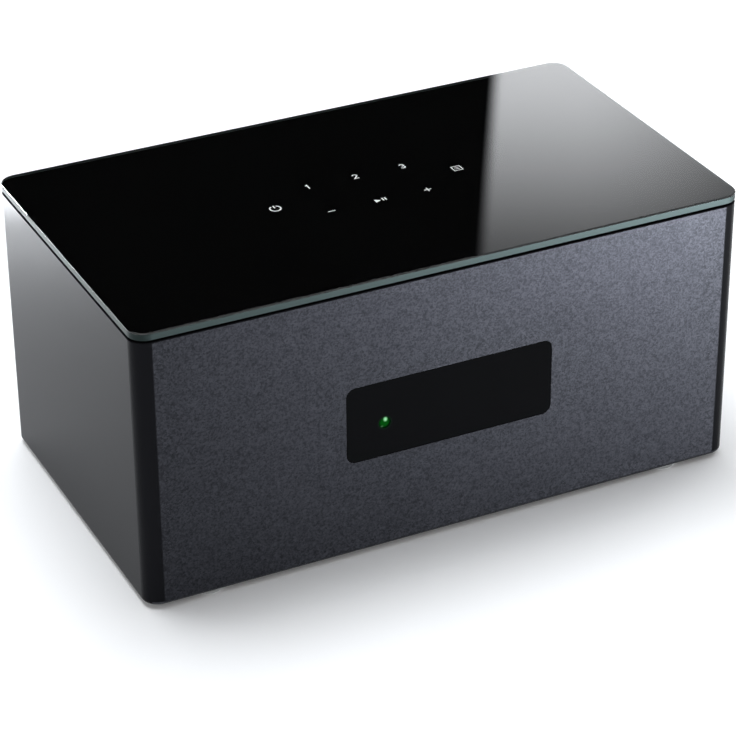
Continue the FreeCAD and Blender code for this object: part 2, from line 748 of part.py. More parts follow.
def make_foot(x, y):
    """Soft round foot whose stem stands in the recess, with a pocket for its screw's head."""
    pad_top = body_bottom - FIT_GAP
    pad = cylinder_z(x, y, 0.0, pad_top, FOOT_RADIUS)
    pad = pad.makeFillet(FOOT_EDGE_RADIUS, edges_at_height(pad, 0.0))
    foot = pad.fuse(cylinder_z(x, y, pad_top - BOSS_SINK, base_bottom, FOOT_STEM_RADIUS))
    seat = foot_screw_seat()
    pocket = cylinder_z(x, y, -PAST, seat, PAN_HEAD_RADIUS + FIT_GAP)
    hole = cylinder_z(x, y, seat - PAST, base_bottom + PAST, CLEAR_RADIUS)
    return cut_all(foot, [pocket, hole])


def foot_screw_seat():
    """Height of the face that a foot screw's head bears on."""
    return FOOT_UNDER_HEAD + PAN_HEAD_HEIGHT


def cross_recess(top_z):
    """Cross-shaped recess sunk into a screw head from a height."""
    half = RECESS_LENGTH / 2
    side = RECESS_WIDTH / 2
    bar = box(-half, half, -side, side, top_z, top_z + RECESS_DEPTH)
    return bar.fuse(box(-side, side, -half, half, top_z, top_z + RECESS_DEPTH))


def pan_screw(length):
    """Pan-head screw, seat at the origin, point along +Z."""
    head = cylinder_z(0, 0, -PAN_HEAD_HEIGHT, 0, PAN_HEAD_RADIUS)
    head = head.makeFillet(PAN_HEAD_EDGE, edges_at_height(head, -PAN_HEAD_HEIGHT))
    screw = head.fuse(cylinder_z(0, 0, 0, length, SCREW_RADIUS))
    return screw.cut(cross_recess(-PAN_HEAD_HEIGHT)).removeSplitter()


def countersunk_screw():
    """Countersunk screw, flush face at the origin, point along +Z."""
    depth = SINK_HEAD_DEPTH
    head = Part.makeCone(SINK_HEAD_RADIUS - SINK_HEAD_PLAY, SCREW_RADIUS, depth, V(0, 0, 0), V(0, 0, 1))
    screw = head.fuse(cylinder_z(0, 0, depth, SINK_LENGTH, SCREW_RADIUS))
    return screw.cut(cross_recess(0.0)).removeSplitter()


def make_countersunk_screws():
    """Screws through the base plate and the tray into the bosses."""
    screw = countersunk_screw()
    low = [placed(screw, (x, y, base_bottom), (0, 0, 1)) for x, y in boss_points]
    high = [placed(screw, (x, y, body_top), (0, 0, -1)) for x, y in boss_points]
    return low + high


def corners(x0, x1, y0, y1):
    """Four points of a rectangle."""
    return [(x, y) for x in (x0, x1) for y in (y0, y1)]


power_points = corners(
    power_left + STANDOFF_INSET,
    power_right - STANDOFF_INSET,
    power_front + STANDOFF_INSET,
    power_rear - STANDOFF_INSET,
)
amp_points = corners(
    amp_left + AMP_STANDOFF_INSET_X,
    amp_right - AMP_STANDOFF_INSET_X,
    amp_front + STANDOFF_INSET,
    amp_rear - AMP_STANDOFF_REAR,
)
shelf_points = corners(
    max(shelf_left, main_left) + STANDOFF_INSET,
    main_right - STANDOFF_INSET,
    shelf_front + STANDOFF_INSET,
    shelf_rear - STANDOFF_INSET,
)
display_points = [
    (side_x * (DISPLAY_BOARD_WIDTH / 2 - STANDOFF_INSET), DISPLAY_BOARD_CENTRE_Z + side_z)
    for side_x in (-1, 1)
    for side_z in (STANDOFF_INSET - DISPLAY_BOARD_HEIGHT / 2, DISPLAY_BOARD_HEIGHT / 2 - STANDOFF_INSET)
]


def make_pan_screws():
    """Screws of the rear panel, the feet and the boards."""
    short = pan_screw(PAN_LENGTH)
    long = pan_screw(FOOT_SCREW_LENGTH)
    screws = [placed(long, (x, rear_y, z), (0, -1, 0)) for x, z in panel_screw_points]
    screws += [placed(long, (x, y, foot_screw_seat()), (0, 0, 1)) for x, y in foot_points]
    screws += [placed(short, (x, y, low_board_top), (0, 0, -1)) for x, y in power_points + amp_points]
    screws += [placed(short, (x, y, MAIN_BOARD_Z), (0, 0, -1)) for x, y in shelf_points]
    screws += [placed(short, (x, display_rear, z), (0, -1, 0)) for x, z in display_points]
    return screws


def make_display_lens():
    """Black window flush with the front, its flange behind the wall, and the hole for the light."""
    low = WINDOW_CENTRE_Z - WINDOW_HEIGHT / 2
    high = WINDOW_CENTRE_Z + WINDOW_HEIGHT / 2
    half = WINDOW_WIDTH / 2
    gap = WINDOW_GAP
    face = rounded_y(
        -half + gap, half - gap, front_y, inner_front_y, low + gap, high - gap, WINDOW_CORNER - gap
    )
    flange = rounded_y(
        -half - LENS_FLANGE,
        half + LENS_FLANGE,
        inner_front_y,
        lens_back_y,
        low - LENS_FLANGE,
        high + LENS_FLANGE,
        WINDOW_CORNER,
    )
    hole = cylinder_y(LIGHT_X, LIGHT_Z, front_y - PAST, lens_back_y + PAST, LIGHT_RADIUS + LIGHT_GAP)
    return face.fuse(flange).cut(hole).removeSplitter()


def make_status_light():
    """Clear rod from its domed front in the window to the light on the display board."""
    rod_end = display_front - EMITTER_DEPTH - FIT_GAP
    rod = cylinder_y(LIGHT_X, LIGHT_Z, front_y, rod_end, LIGHT_RADIUS)
    sphere_radius = (LIGHT_RADIUS**2 + LIGHT_RISE**2) / (2 * LIGHT_RISE)
    dome = Part.makeSphere(sphere_radius, V(LIGHT_X, front_y + sphere_radius, LIGHT_Z))
    behind = cylinder_y(
        LIGHT_X, LIGHT_Z, front_y + 2 * LIGHT_RISE, rod_end + PAST, LIGHT_RADIUS + PAST
    )
    return rod.common(dome.fuse(behind)).removeSplitter()


def make_display_board():
    """Board behind the window."""
    board = box(
        -DISPLAY_BOARD_WIDTH / 2,
        DISPLAY_BOARD_WIDTH / 2,
        display_front,
        display_rear,
        DISPLAY_BOARD_CENTRE_Z - DISPLAY_BOARD_HEIGHT / 2,
        DISPLAY_BOARD_CENTRE_Z + DISPLAY_BOARD_HEIGHT / 2,
    )
    y0 = display_front - PAST
    y1 = display_rear + PAST
    return board.cut([cylinder_y(x, z, y0, y1, CLEAR_RADIUS) for x, z in display_points])


def make_display_module():
    """Flat display between the window and its board."""
    return box(
        DISPLAY_X - DISPLAY_WIDTH / 2,
        DISPLAY_X + DISPLAY_WIDTH / 2,
        lens_back_y + FIT_GAP,
        display_front,
        WINDOW_CENTRE_Z - DISPLAY_HEIGHT / 2,
        WINDOW_CENTRE_Z + DISPLAY_HEIGHT / 2,
    )


def make_mains_inlet():
    """Three-blade appliance inlet: flange, body, shaped cavity, blade slots and side latches."""
    half_w = INLET_BODY_WIDTH / 2
    half_h = INLET_BODY_HEIGHT / 2
    flange = rounded_y(
        inlet_x - INLET_FLANGE_WIDTH / 2,
        inlet_x + INLET_FLANGE_WIDTH / 2,
        panel_out_y,
        inlet_mouth_y,
        INLET_Z - INLET_FLANGE_HEIGHT / 2,
        INLET_Z + INLET_FLANGE_HEIGHT / 2,
        INLET_FLANGE_CORNER,
    )
    body = box(
        inlet_x - half_w, inlet_x + half_w, inlet_back_y, panel_out_y, INLET_Z - half_h, INLET_Z + half_h
    )
    latches = []
    for side in (-1, 1):
        root_x = inlet_x + side * half_w
        tip_x = root_x + side * (CUT_GAP + LATCH_HEIGHT)
        x0, x1 = sorted((root_x, tip_x))
        latches.append(
            box(
                x0,
                x1,
                panel_in_y - CUT_GAP - LATCH_LENGTH,
                panel_in_y - CUT_GAP,
                INLET_Z - LATCH_WIDTH / 2,
                INLET_Z + LATCH_WIDTH / 2,
            )
        )
    inlet = flange.fuse([body] + latches)
    cavity = box(
        inlet_x - CAVITY_WIDTH / 2,
        inlet_x + CAVITY_WIDTH / 2,
        inlet_floor_y,
        inlet_mouth_y + PAST,
        INLET_Z - CAVITY_HEIGHT / 2,
        INLET_Z + CAVITY_HEIGHT / 2,
    )
    upper = [
        edge for edge in edges_along(cavity, V(0, 1, 0)) if edge.CenterOfMass.z > INLET_Z
    ]
    cavity = cavity.makeChamfer(CAVITY_CHAMFER, upper)
    return cut_all(inlet, [cavity] + make_inlet_blades()).removeSplitter()


def make_inlet_blades():
    """Line, neutral and earth blades, each with its solder tab behind the body."""
    blades = []
    for x, z in (
        (inlet_x - BLADE_SPREAD, INLET_Z - BLADE_OFFSET),
        (inlet_x, INLET_Z + BLADE_OFFSET),
        (inlet_x + BLADE_SPREAD, INLET_Z - BLADE_OFFSET),
    ):
        blades.append(
            box(
                x - BLADE_WIDTH / 2,
                x + BLADE_WIDTH / 2,
                inlet_back_y - TAB_LENGTH,
                inlet_mouth_y - BLADE_BELOW_MOUTH,
                z - BLADE_HEIGHT / 2,
                z + BLADE_HEIGHT / 2,
            )
        )
    return blades


def make_switch_tabs():
    """Two contact tabs behind the mains switch."""
    return [
        box(
            inlet_x - BLADE_HEIGHT / 2,
            inlet_x + BLADE_HEIGHT / 2,
            switch_back_y - TAB_LENGTH,
            switch_back_y,
            z - BLADE_WIDTH / 4,
            z + BLADE_WIDTH / 4,
        )
        for z in (SWITCH_Z - SWITCH_BODY_HEIGHT / 4, SWITCH_Z + SWITCH_BODY_HEIGHT / 4)
    ]


def make_rocker_frame():
    """Housing of the mains switch, open to the rear, with bearings for the rocker."""
    half_w = SWITCH_BODY_WIDTH / 2
    half_h = SWITCH_BODY_HEIGHT / 2
    flange = rounded_y(
        inlet_x - SWITCH_FLANGE_WIDTH / 2,
        inlet_x + SWITCH_FLANGE_WIDTH / 2,
        panel_out_y,
        switch_out_y,
        SWITCH_Z - SWITCH_FLANGE_HEIGHT / 2,
        SWITCH_Z + SWITCH_FLANGE_HEIGHT / 2,
        SWITCH_FLANGE_CORNER,
    )
    body = box(
        inlet_x - half_w, inlet_x + half_w, switch_back_y, panel_out_y, SWITCH_Z - half_h, SWITCH_Z + half_h
    )
    well_half_w = CAP_WIDTH / 2 + CAP_SIDE_GAP
    well_half_h = CAP_RADIUS + CAP_SIDE_GAP
    well = box(
        inlet_x - well_half_w,
        inlet_x + well_half_w,
        switch_floor_y,
        switch_out_y + PAST,
        SWITCH_Z - well_half_h,
        SWITCH_Z + well_half_h,
    )
    bearing_half = CAP_WIDTH / 2 + PIVOT_LENGTH + PIVOT_PLAY
    bearing = cylinder_x(
        inlet_x - bearing_half, inlet_x + bearing_half, switch_pivot_y, SWITCH_Z, PIVOT_RADIUS + PIVOT_PLAY
    )
    return flange.fuse(body).cut([well, bearing]).removeSplitter()


def make_rocker_cap():
    """Rocker: a drum about its pivot with a hollowed face, tilted to its switched-on side."""
    drum = cylinder_x(inlet_x - CAP_WIDTH / 2, inlet_x + CAP_WIDTH / 2, 0.0, 0.0, CAP_RADIUS)
    face_z = math.sqrt(CAP_RADIUS**2 - CAP_RIDGE**2)
    outline = [
        V(inlet_x - CAP_WIDTH, -CAP_BOTTOM, -CAP_RADIUS - PAST),
        V(inlet_x - CAP_WIDTH, CAP_RIDGE, -CAP_RADIUS - PAST),
        V(inlet_x - CAP_WIDTH, CAP_RIDGE, -face_z),
        V(inlet_x - CAP_WIDTH, CAP_VALLEY, 0.0),
        V(inlet_x - CAP_WIDTH, CAP_RIDGE, face_z),
        V(inlet_x - CAP_WIDTH, CAP_RIDGE, CAP_RADIUS + PAST),
        V(inlet_x - CAP_WIDTH, -CAP_BOTTOM, CAP_RADIUS + PAST),
    ]
    section = Part.Face(Part.makePolygon(outline + outline[:1]))
    cap = drum.common(section.extrude(V(2 * CAP_WIDTH, 0, 0)))
    pivot_half = CAP_WIDTH / 2 + PIVOT_LENGTH
    cap = cap.fuse(cylinder_x(inlet_x - pivot_half, inlet_x + pivot_half, 0.0, 0.0, PIVOT_RADIUS))
    cap.rotate(V(0, 0, 0), V(1, 0, 0), CAP_TILT)
    cap.translate(V(0, switch_pivot_y, SWITCH_Z))
    return cap.removeSplitter()


def make_terminal_plate():
    """Moulded plate outside the rear panel, with a bush through the panel for each terminal."""
    plate = rounded_y(
        post_xs[0] - PLATE_MARGIN,
        post_xs[-1] + PLATE_MARGIN,
        panel_out_y,
        plate_out_y,
        POST_Z - PLATE_HEIGHT / 2,
        POST_Z + PLATE_HEIGHT / 2,
        PLATE_CORNER,
    )
    bushes = [cylinder_y(x, POST_Z, bush_end_y, plate_out_y, BUSH_RADIUS) for x in post_xs]
    hole_radius = SHANK_RADIUS + SHANK_PLAY
    holes = [cylinder_y(x, POST_Z, bush_end_y - PAST, plate_out_y + PAST, hole_radius) for x in post_xs]
    return plate.fuse(bushes).cut(holes).removeSplitter()


def make_post_stud(x):
    """Terminal stud: seat flange, threaded barrel with a plug bore and wire hole, clamped shank."""
    flange = cylinder_y(x, POST_Z, plate_out_y, post_seat_y, POST_FLANGE_RADIUS)
    barrel = cylinder_y(x, POST_Z, post_seat_y, post_end_y, POST_RADIUS)
    shank = cylinder_y(x, POST_Z, nut_in_y - SHANK_END, plate_out_y, SHANK_RADIUS)
    hole_y = post_seat_y + WIRE_HOLE_UP
    bore_start = hole_y + WIRE_HOLE_RADIUS + BORE_FLOOR
    bore = cylinder_y(x, POST_Z, bore_start, post_end_y + PAST, POST_BORE_RADIUS)
    reach = POST_RADIUS + PAST
    wire_hole = cylinder_z(x, hole_y, POST_Z - reach, POST_Z + reach, WIRE_HOLE_RADIUS)
    return flange.fuse([barrel, shank]).cut([bore, wire_hole]).removeSplitter()


def make_post_nut(x):
    """Hexagon nut on a stud's shank, against the terminal board."""
    corners = [
        V(
            x + NUT_RADIUS * math.cos(math.radians(60 * step)),
            nut_in_y,
            POST_Z + NUT_RADIUS * math.sin(math.radians(60 * step)),
        )
        for step in range(7)
    ]
    nut = Part.Face(Part.makePolygon(corners)).extrude(V(0, NUT_THICKNESS, 0))
    hole = cylinder_y(x, POST_Z, nut_in_y - PAST, nut_in_y + NUT_THICKNESS + PAST, SHANK_RADIUS)
    return nut.cut(hole)


def make_clamp_washer(x):
    """Loose ring that presses a bare wire against the stud's flange."""
    ring = cylinder_y(x, POST_Z, post_seat_y, washer_out_y, WASHER_RADIUS)
    return ring.cut(
        cylinder_y(x, POST_Z, post_seat_y - PAST, washer_out_y + PAST, POST_RADIUS + WASHER_PLAY)
    )


def make_post_knob(x):
    """Fluted screw cap with a thread bore and a mouth for a plug."""
    knob = cylinder_y(x, POST_Z, washer_out_y, knob_end_y, KNOB_RADIUS)
    knob = knob.makeChamfer(KNOB_MOUTH_BEVEL, edges_at_depth(knob, knob_end_y))
    reach = KNOB_RADIUS + FLUTE_RADIUS - FLUTE_DEPTH
    tools = []
    for step in range(FLUTES):
        angle = 2 * math.pi * (step + 0.5) / FLUTES
        flute_x = x + reach * math.cos(angle)
        flute_z = POST_Z + reach * math.sin(angle)
        start_y = washer_out_y + FLUTE_START
        tools.append(cylinder_y(flute_x, flute_z, start_y, knob_end_y + PAST, FLUTE_RADIUS))
    thread_end = knob_end_y - KNOB_END_WALL
    thread_radius = POST_RADIUS + KNOB_THREAD_PLAY
    tools.append(cylinder_y(x, POST_Z, washer_out_y - PAST, thread_end, thread_radius))
    tools.append(cylinder_y(x, POST_Z, thread_end - PAST, knob_end_y + PAST, KNOB_MOUTH_RADIUS))
    tools.append(
        Part.makeCone(
            KNOB_MOUTH_RADIUS,
            KNOB_MOUTH_RADIUS + KNOB_MOUTH_BEVEL,
            KNOB_MOUTH_BEVEL,
            V(x, knob_end_y - KNOB_MOUTH_BEVEL, POST_Z),
            V(0, 1, 0),
        )
    )
    return cut_all(knob, tools)


def make_terminal_board():
    """Upright board that the terminals are clamped to, standing on the amplifier board."""
    board = box(
        post_xs[0] - TERMINAL_BOARD_MARGIN,
        post_xs[-1] + TERMINAL_BOARD_MARGIN,
        terminal_board_in_y,
        bush_end_y,
        low_board_top,
        POST_Z + TERMINAL_BOARD_ABOVE,
    )
    holes = [
        cylinder_y(x, POST_Z, terminal_board_in_y - PAST, bush_end_y + PAST, SHANK_RADIUS + SHANK_PLAY)
        for x in post_xs
    ]
    return board.cut(holes)


def make_hdmi_socket(x):
    """Folded metal socket with the usual drawn-in lower corners."""
    half = HDMI_WIDTH / 2
    bottom = MAIN_BOARD_Z
    top = MAIN_BOARD_Z + HDMI_HEIGHT
    back_y = socket_out_y - HDMI_DEPTH
    outer = keyed_block(x, half, back_y, socket_out_y, bottom, top, HDMI_CHAMFER)
    inner = keyed_block(
        x,
        half - HDMI_WALL,
        socket_out_y - HDMI_CAVITY,
        socket_out_y + PAST,
        bottom + HDMI_WALL,
        top - HDMI_WALL,
        HDMI_CHAMFER,
    )
    return outer.cut(inner)


def keyed_block(x, half, y0, y1, z0, z1, chamfer):
    """Block along Y whose two lower edges are cut off at 45 degrees."""
    outline = [
        V(x - half + chamfer, y0, z0),
        V(x + half - chamfer, y0, z0),
        V(x + half, y0, z0 + chamfer),
        V(x + half, y0, z1),
        V(x - half, y0, z1),
        V(x - half, y0, z0 + chamfer),
    ]
    return Part.Face(Part.makePolygon(outline + outline[:1])).extrude(V(0, y1 - y0, 0))


def make_hdmi_tongue(x):
    """Contact tongue in the middle of a socket."""
    middle = MAIN_BOARD_Z + HDMI_HEIGHT / 2
    return box(
        x - HDMI_TONGUE_WIDTH / 2,
        x + HDMI_TONGUE_WIDTH / 2,
        socket_out_y - HDMI_CAVITY,
        socket_out_y - HDMI_TONGUE_SET_BACK,
        middle - HDMI_TONGUE_HEIGHT / 2,
        middle + HDMI_TONGUE_HEIGHT / 2,
    )


def make_usb_socket():
    """Plain folded metal socket."""
    half = USB_WIDTH / 2
    top = MAIN_BOARD_Z + USB_HEIGHT
    outer = box(
        usb_x - half, usb_x + half, socket_out_y - USB_DEPTH, socket_out_y, MAIN_BOARD_Z, top
    )
    inner = box(
        usb_x - half + USB_WALL,
        usb_x + half - USB_WALL,
        socket_out_y - USB_CAVITY,
        socket_out_y + PAST,
        MAIN_BOARD_Z + USB_WALL,
        top - USB_WALL,
    )
    return outer.cut(inner)


def make_usb_tongue():
    """Contact tongue near the roof of the socket."""
    top = MAIN_BOARD_Z + USB_HEIGHT - USB_WALL - USB_TONGUE_DROP
    return box(
        usb_x - USB_TONGUE_WIDTH / 2,
        usb_x + USB_TONGUE_WIDTH / 2,
        socket_out_y - USB_CAVITY,
        socket_out_y - HDMI_TONGUE_SET_BACK,
        top - USB_TONGUE_HEIGHT,
        top,
    )


def make_optical_socket():
    """Light socket: a square cavity with a pocket above it where the open shutter lies."""
    half = OPTICAL_WIDTH / 2
    body = box(
        optical_x - half,
        optical_x + half,
        socket_out_y - OPTICAL_DEPTH,
        socket_out_y,
        MAIN_BOARD_Z,
        MAIN_BOARD_Z + OPTICAL_HEIGHT,
    )
    mouth_half = OPTICAL_MOUTH / 2
    mouth_top = optical_mouth_z + mouth_half
    cavity = box(
        optical_x - mouth_half,
        optical_x + mouth_half,
        socket_out_y - OPTICAL_CAVITY,
        socket_out_y + PAST,
        optical_mouth_z - mouth_half,
        mouth_top,
    )
    pocket = box(
        optical_x - mouth_half,
        optical_x + mouth_half,
        socket_out_y - OPTICAL_CAVITY,
        shutter_out_y + SHUTTER_GAP,
        mouth_top - PAST,
        mouth_top + OPTICAL_POCKET,
    )
    bearing_half = mouth_half + SHUTTER_PIN_LENGTH + SHUTTER_GAP
    bearing = cylinder_x(
        optical_x - bearing_half,
        optical_x + bearing_half,
        shutter_hinge_y,
        shutter_hinge_z,
        SHUTTER_PIN_RADIUS + SHUTTER_PIN_PLAY,
    )
    return cut_all(body, [cavity, pocket, bearing])


def make_optical_shutter():
    """Flap that hangs in the mouth of the light socket from a pin along its top."""
    flap_half = OPTICAL_MOUTH / 2 - SHUTTER_GAP
    flap = box(
        optical_x - flap_half,
        optical_x + flap_half,
        shutter_out_y - SHUTTER_THICKNESS,
        shutter_out_y,
        optical_mouth_z - flap_half,
        shutter_hinge_z,
    )
    pin_half = OPTICAL_MOUTH / 2 + SHUTTER_PIN_LENGTH
    pin = cylinder_x(
        optical_x - pin_half, optical_x + pin_half, shutter_hinge_y, shutter_hinge_z, SHUTTER_PIN_RADIUS
    )
    return flap.fuse(pin).removeSplitter()


def make_rca_block():
    """Moulded block with a collar through the panel and an insulator core for each jack."""
    block = box(
        rca_xs[0] - RCA_BLOCK_MARGIN,
        rca_xs[-1] + RCA_BLOCK_MARGIN,
        rca_face_y - RCA_BLOCK_DEPTH,
        rca_face_y,
        MAIN_BOARD_Z,
        MAIN_BOARD_Z + RCA_BLOCK_HEIGHT,
    )
    core_radius = RCA_BARREL_RADIUS - RCA_BARREL_WALL - RCA_CORE_PLAY
    collar_end = panel_out_y + RCA_COLLAR_PROUD
    collars = [cylinder_y(x, rca_z, rca_face_y, collar_end, RCA_COLLAR_RADIUS) for x in rca_xs]
    core_end = rca_end_y - RCA_CORE_SET_BACK
    cores = [cylinder_y(x, rca_z, collar_end, core_end, core_radius) for x in rca_xs]
    bore_start = core_end - RCA_BORE_DEPTH
    bores = [cylinder_y(x, rca_z, bore_start, rca_end_y + PAST, RCA_BORE_RADIUS) for x in rca_xs]
    return block.fuse(collars + cores).cut(bores).removeSplitter()


def make_rca_barrel(x):
    """Plated outer contact of a jack, seated on the block's collar."""
    start = panel_out_y + RCA_COLLAR_PROUD
    tube = cylinder_y(x, rca_z, start, rca_end_y, RCA_BARREL_RADIUS)
    tube = tube.makeChamfer(RCA_BARREL_BEVEL, edges_at_depth(tube, rca_end_y))
    inner_radius = RCA_BARREL_RADIUS - RCA_BARREL_WALL
    return tube.cut(cylinder_y(x, rca_z, start - PAST, rca_end_y + PAST, inner_radius))


def make_pair_button():
    """Round push button through the rear panel, held in by its flange."""
    out_y = panel_out_y + BUTTON_PROUD
    stem = cylinder_y(button_x, button_z, button_flange_y, out_y, BUTTON_RADIUS)
    stem = stem.makeFillet(BUTTON_EDGE, edges_at_depth(stem, out_y))
    flange_in_y = button_flange_y - BUTTON_FLANGE_THICKNESS
    flange = cylinder_y(button_x, button_z, flange_in_y, button_flange_y, BUTTON_FLANGE_RADIUS)
    return stem.fuse(flange).removeSplitter()


def make_low_board(x0, x1, y0, y1, points):
    """Board on the base plate's standoffs."""
    board = box(x0, x1, y0, y1, low_board_bottom, low_board_top)
    return board.cut(board_holes(points, low_board_bottom, low_board_top))


def board_holes(points, z0, z1):
    """Screw holes through a level board."""
    return [cylinder_z(x, y, z0 - PAST, z1 + PAST, CLEAR_RADIUS) for x, y in points]


def make_main_board():
    """Board that carries the upper row of sockets."""
    board = box(main_left, main_right, main_front, main_rear, main_bottom, MAIN_BOARD_Z)
    return board.cut(board_holes(shelf_points, main_bottom, MAIN_BOARD_Z))


def chip(x, y, z, width, depth, height):
    """Chip body centred at a point on a board."""
    return box(x - width / 2, x + width / 2, y - depth / 2, y + depth / 2, z, z + height)


def amp_chip_xs():
    """Amplifier chips, spread evenly under the heatsink."""
    step = (heatsink_right - heatsink_left) / AMP_CHIPS
    return [heatsink_left + step * (index + 0.5) for index in range(AMP_CHIPS)]


def make_main_chips():
    """Video, sound and memory chips and the radio module on the main board."""
    y = (main_front + main_rear) / 2
    video_x = (hdmi_xs[0] + hdmi_xs[-1]) / 2
    sound_x = usb_x - SOUND_CHIP_FROM_USB
    video = chip(video_x, y, MAIN_BOARD_Z, VIDEO_CHIP_SIZE, VIDEO_CHIP_SIZE, VIDEO_CHIP_HEIGHT)
    sound = chip(sound_x, y, MAIN_BOARD_Z, SOUND_CHIP_SIZE, SOUND_CHIP_SIZE, SMALL_CHIP_HEIGHT)
    memory_y = y - MEMORY_FORWARD
    memory = chip(optical_x, memory_y, MAIN_BOARD_Z, MEMORY_WIDTH, MEMORY_DEPTH, SMALL_CHIP_HEIGHT)
    radio_x = (rca_xs[0] + rca_xs[-1]) / 2
    radio = chip(radio_x, y - RADIO_FORWARD, MAIN_BOARD_Z, RADIO_WIDTH, RADIO_DEPTH, RADIO_HEIGHT)
    return [video, sound, memory, radio]


def make_ribbon_sockets():
    """Upright socket of the touch board's cable and flat one of the display's."""
    width = RIBBON_WIDTH + 2 * RIBBON_SOCKET_MARGIN
    upright = chip(0.0, ribbon_y, MAIN_BOARD_Z, width, UPRIGHT_SOCKET, UPRIGHT_SOCKET)
    flat_y = main_front + RIBBON_LANDING / 2
    flat = chip(DISPLAY_RIBBON_X, flat_y, MAIN_BOARD_Z, width, RIBBON_LANDING, RIBBON_SOCKET_HEIGHT)
    return [upright.cut(touch_ribbon()), flat]


def make_fuse():
    """Glass fuse in its two clips."""
    x = power_mid_x + FUSE_FROM_MIDDLE
    half = FUSE_LENGTH / 2
    tube = cylinder_y(x, low_board_top + FUSE_UP, choke_y - half, choke_y + half, FUSE_RADIUS)
    clips = [
        chip(x, choke_y + side * CLIP_SPREAD, low_board_top, CLIP_WIDTH, CLIP_DEPTH, FUSE_UP)
        for side in (-1, 1)
    ]
    return tube.fuse(clips).removeSplitter()


def make_board_components():
    """Chips, choke, fuse, ribbon sockets, light source, infrared receiver and button switch."""
    parts = [
        chip(x, heatsink_mid_y, low_board_top, AMP_CHIP_SIZE, AMP_CHIP_SIZE, CHIP_HEIGHT)
        for x in amp_chip_xs()
    ]
    parts += make_main_chips()
    parts.append(chip(choke_x, choke_y, low_board_top, CHOKE_SIDE, CHOKE_SIDE, CHOKE_HEIGHT))
    parts.append(make_fuse())
    parts += make_ribbon_sockets()
    parts.append(
        box(
            LIGHT_X - EMITTER_WIDTH / 2,
            LIGHT_X + EMITTER_WIDTH / 2,
            display_front - EMITTER_DEPTH,
            display_front,
            LIGHT_Z - EMITTER_HEIGHT / 2,
            LIGHT_Z + EMITTER_HEIGHT / 2,
        )
    )
    parts.append(
        box(
            RECEIVER_X - RECEIVER_WIDTH / 2,
            RECEIVER_X + RECEIVER_WIDTH / 2,
            lens_back_y + FIT_GAP,
            display_front,
            WINDOW_CENTRE_Z - RECEIVER_HEIGHT / 2,
            WINDOW_CENTRE_Z + RECEIVER_HEIGHT / 2,
        )
    )
    parts.append(
        box(
            button_x - BUTTON_SWITCH_WIDTH / 2,
            button_x + BUTTON_SWITCH_WIDTH / 2,
            switch_plunger_y - BUTTON_SWITCH_DEPTH,
            switch_plunger_y,
            MAIN_BOARD_Z,
            button_z + BUTTON_SWITCH_ABOVE,
        )
    )
    return parts


def make_heatsink():
    """Finned extrusion that lies on the amplifier chips."""
    base = box(
        heatsink_left,
        heatsink_right,
        heatsink_front,
        heatsink_front + HEATSINK_DEPTH,
        heatsink_bottom,
        heatsink_bottom + HEATSINK_BASE,
    )
    fins = []
    count = int(HEATSINK_DEPTH / FIN_PITCH) + 1
    spread = (HEATSINK_DEPTH - FIN_THICKNESS) / (count - 1)
    for index in range(count):
        y = heatsink_front + index * spread
        fins.append(
            box(
                heatsink_left,
                heatsink_right,
                y,
                y + FIN_THICKNESS,
                heatsink_bottom + HEATSINK_BASE,
                heatsink_bottom + HEATSINK_HEIGHT,
            )
        )
    return base.fuse(fins).removeSplitter()


def make_transformer():
    """Ferrite frame with a wound bobbin in its window."""
    half_w = TRANSFORMER_WIDTH / 2
    half_d = TRANSFORMER_DEPTH / 2
    y = transformer_y
    x = power_mid_x
    z0 = low_board_top
    z1 = low_board_top + TRANSFORMER_HEIGHT
    limb = TRANSFORMER_LIMB
    core = box(x - half_w, x + half_w, y - half_d / 2, y + half_d / 2, z0, z1)
    window = box(
        x - half_w + limb, x + half_w - limb, y - half_d, y + half_d, z0 + limb, z1 - limb
    )
    gap = WINDING_GAP
    winding = rounded_y(
        x - half_w + limb + gap,
        x + half_w - limb - gap,
        y - half_d,
        y + half_d,
        z0 + limb + gap,
        z1 - limb - gap,
        TRANSFORMER_CORNER,
    )
    return [core.cut(window), winding]


def make_capacitors():
    """Two reservoir capacitors and a row of smaller ones on the power board."""
    top = low_board_top + CAPACITOR_HEIGHT
    parts = []
    for side in (-1, 1):
        x = power_mid_x + side * CAPACITOR_SPREAD
        can = cylinder_z(x, capacitor_y, low_board_top, top, CAPACITOR_RADIUS)
        parts.append(can.makeFillet(CAPACITOR_EDGE, edges_at_height(can, top)))
    small_top = low_board_top + SMALL_CAPACITOR_HEIGHT
    pitch = 2 * SMALL_CAPACITOR_RADIUS + SMALL_CAPACITOR_GAP
    for index in range(SMALL_CAPACITORS):
        x = power_mid_x + (index - (SMALL_CAPACITORS - 1) / 2) * pitch
        parts.append(cylinder_z(x, small_capacitor_y, low_board_top, small_top, SMALL_CAPACITOR_RADIUS))
    return parts


def make_output_coils():
    """One drum coil for each terminal, in a row behind the heatsink."""
    y = amp_rear - COIL_REAR_GAP
    count = 2 * POST_PAIRS
    step = (heatsink_right - heatsink_left) / count
    coil_top = low_board_top + COIL_HEIGHT
    parts = []
    for index in range(count):
        x = heatsink_left + step * (index + 0.5)
        drum = cylinder_z(x, y, low_board_top, coil_top, COIL_RADIUS)
        waist = cylinder_z(x, y, low_board_top + COIL_FLANGE, coil_top - COIL_FLANGE, COIL_RADIUS + PAST)
        core = cylinder_z(x, y, low_board_top, coil_top, COIL_RADIUS - COIL_WAIST)
        parts.append(drum.cut(waist.cut(core)))
    return parts


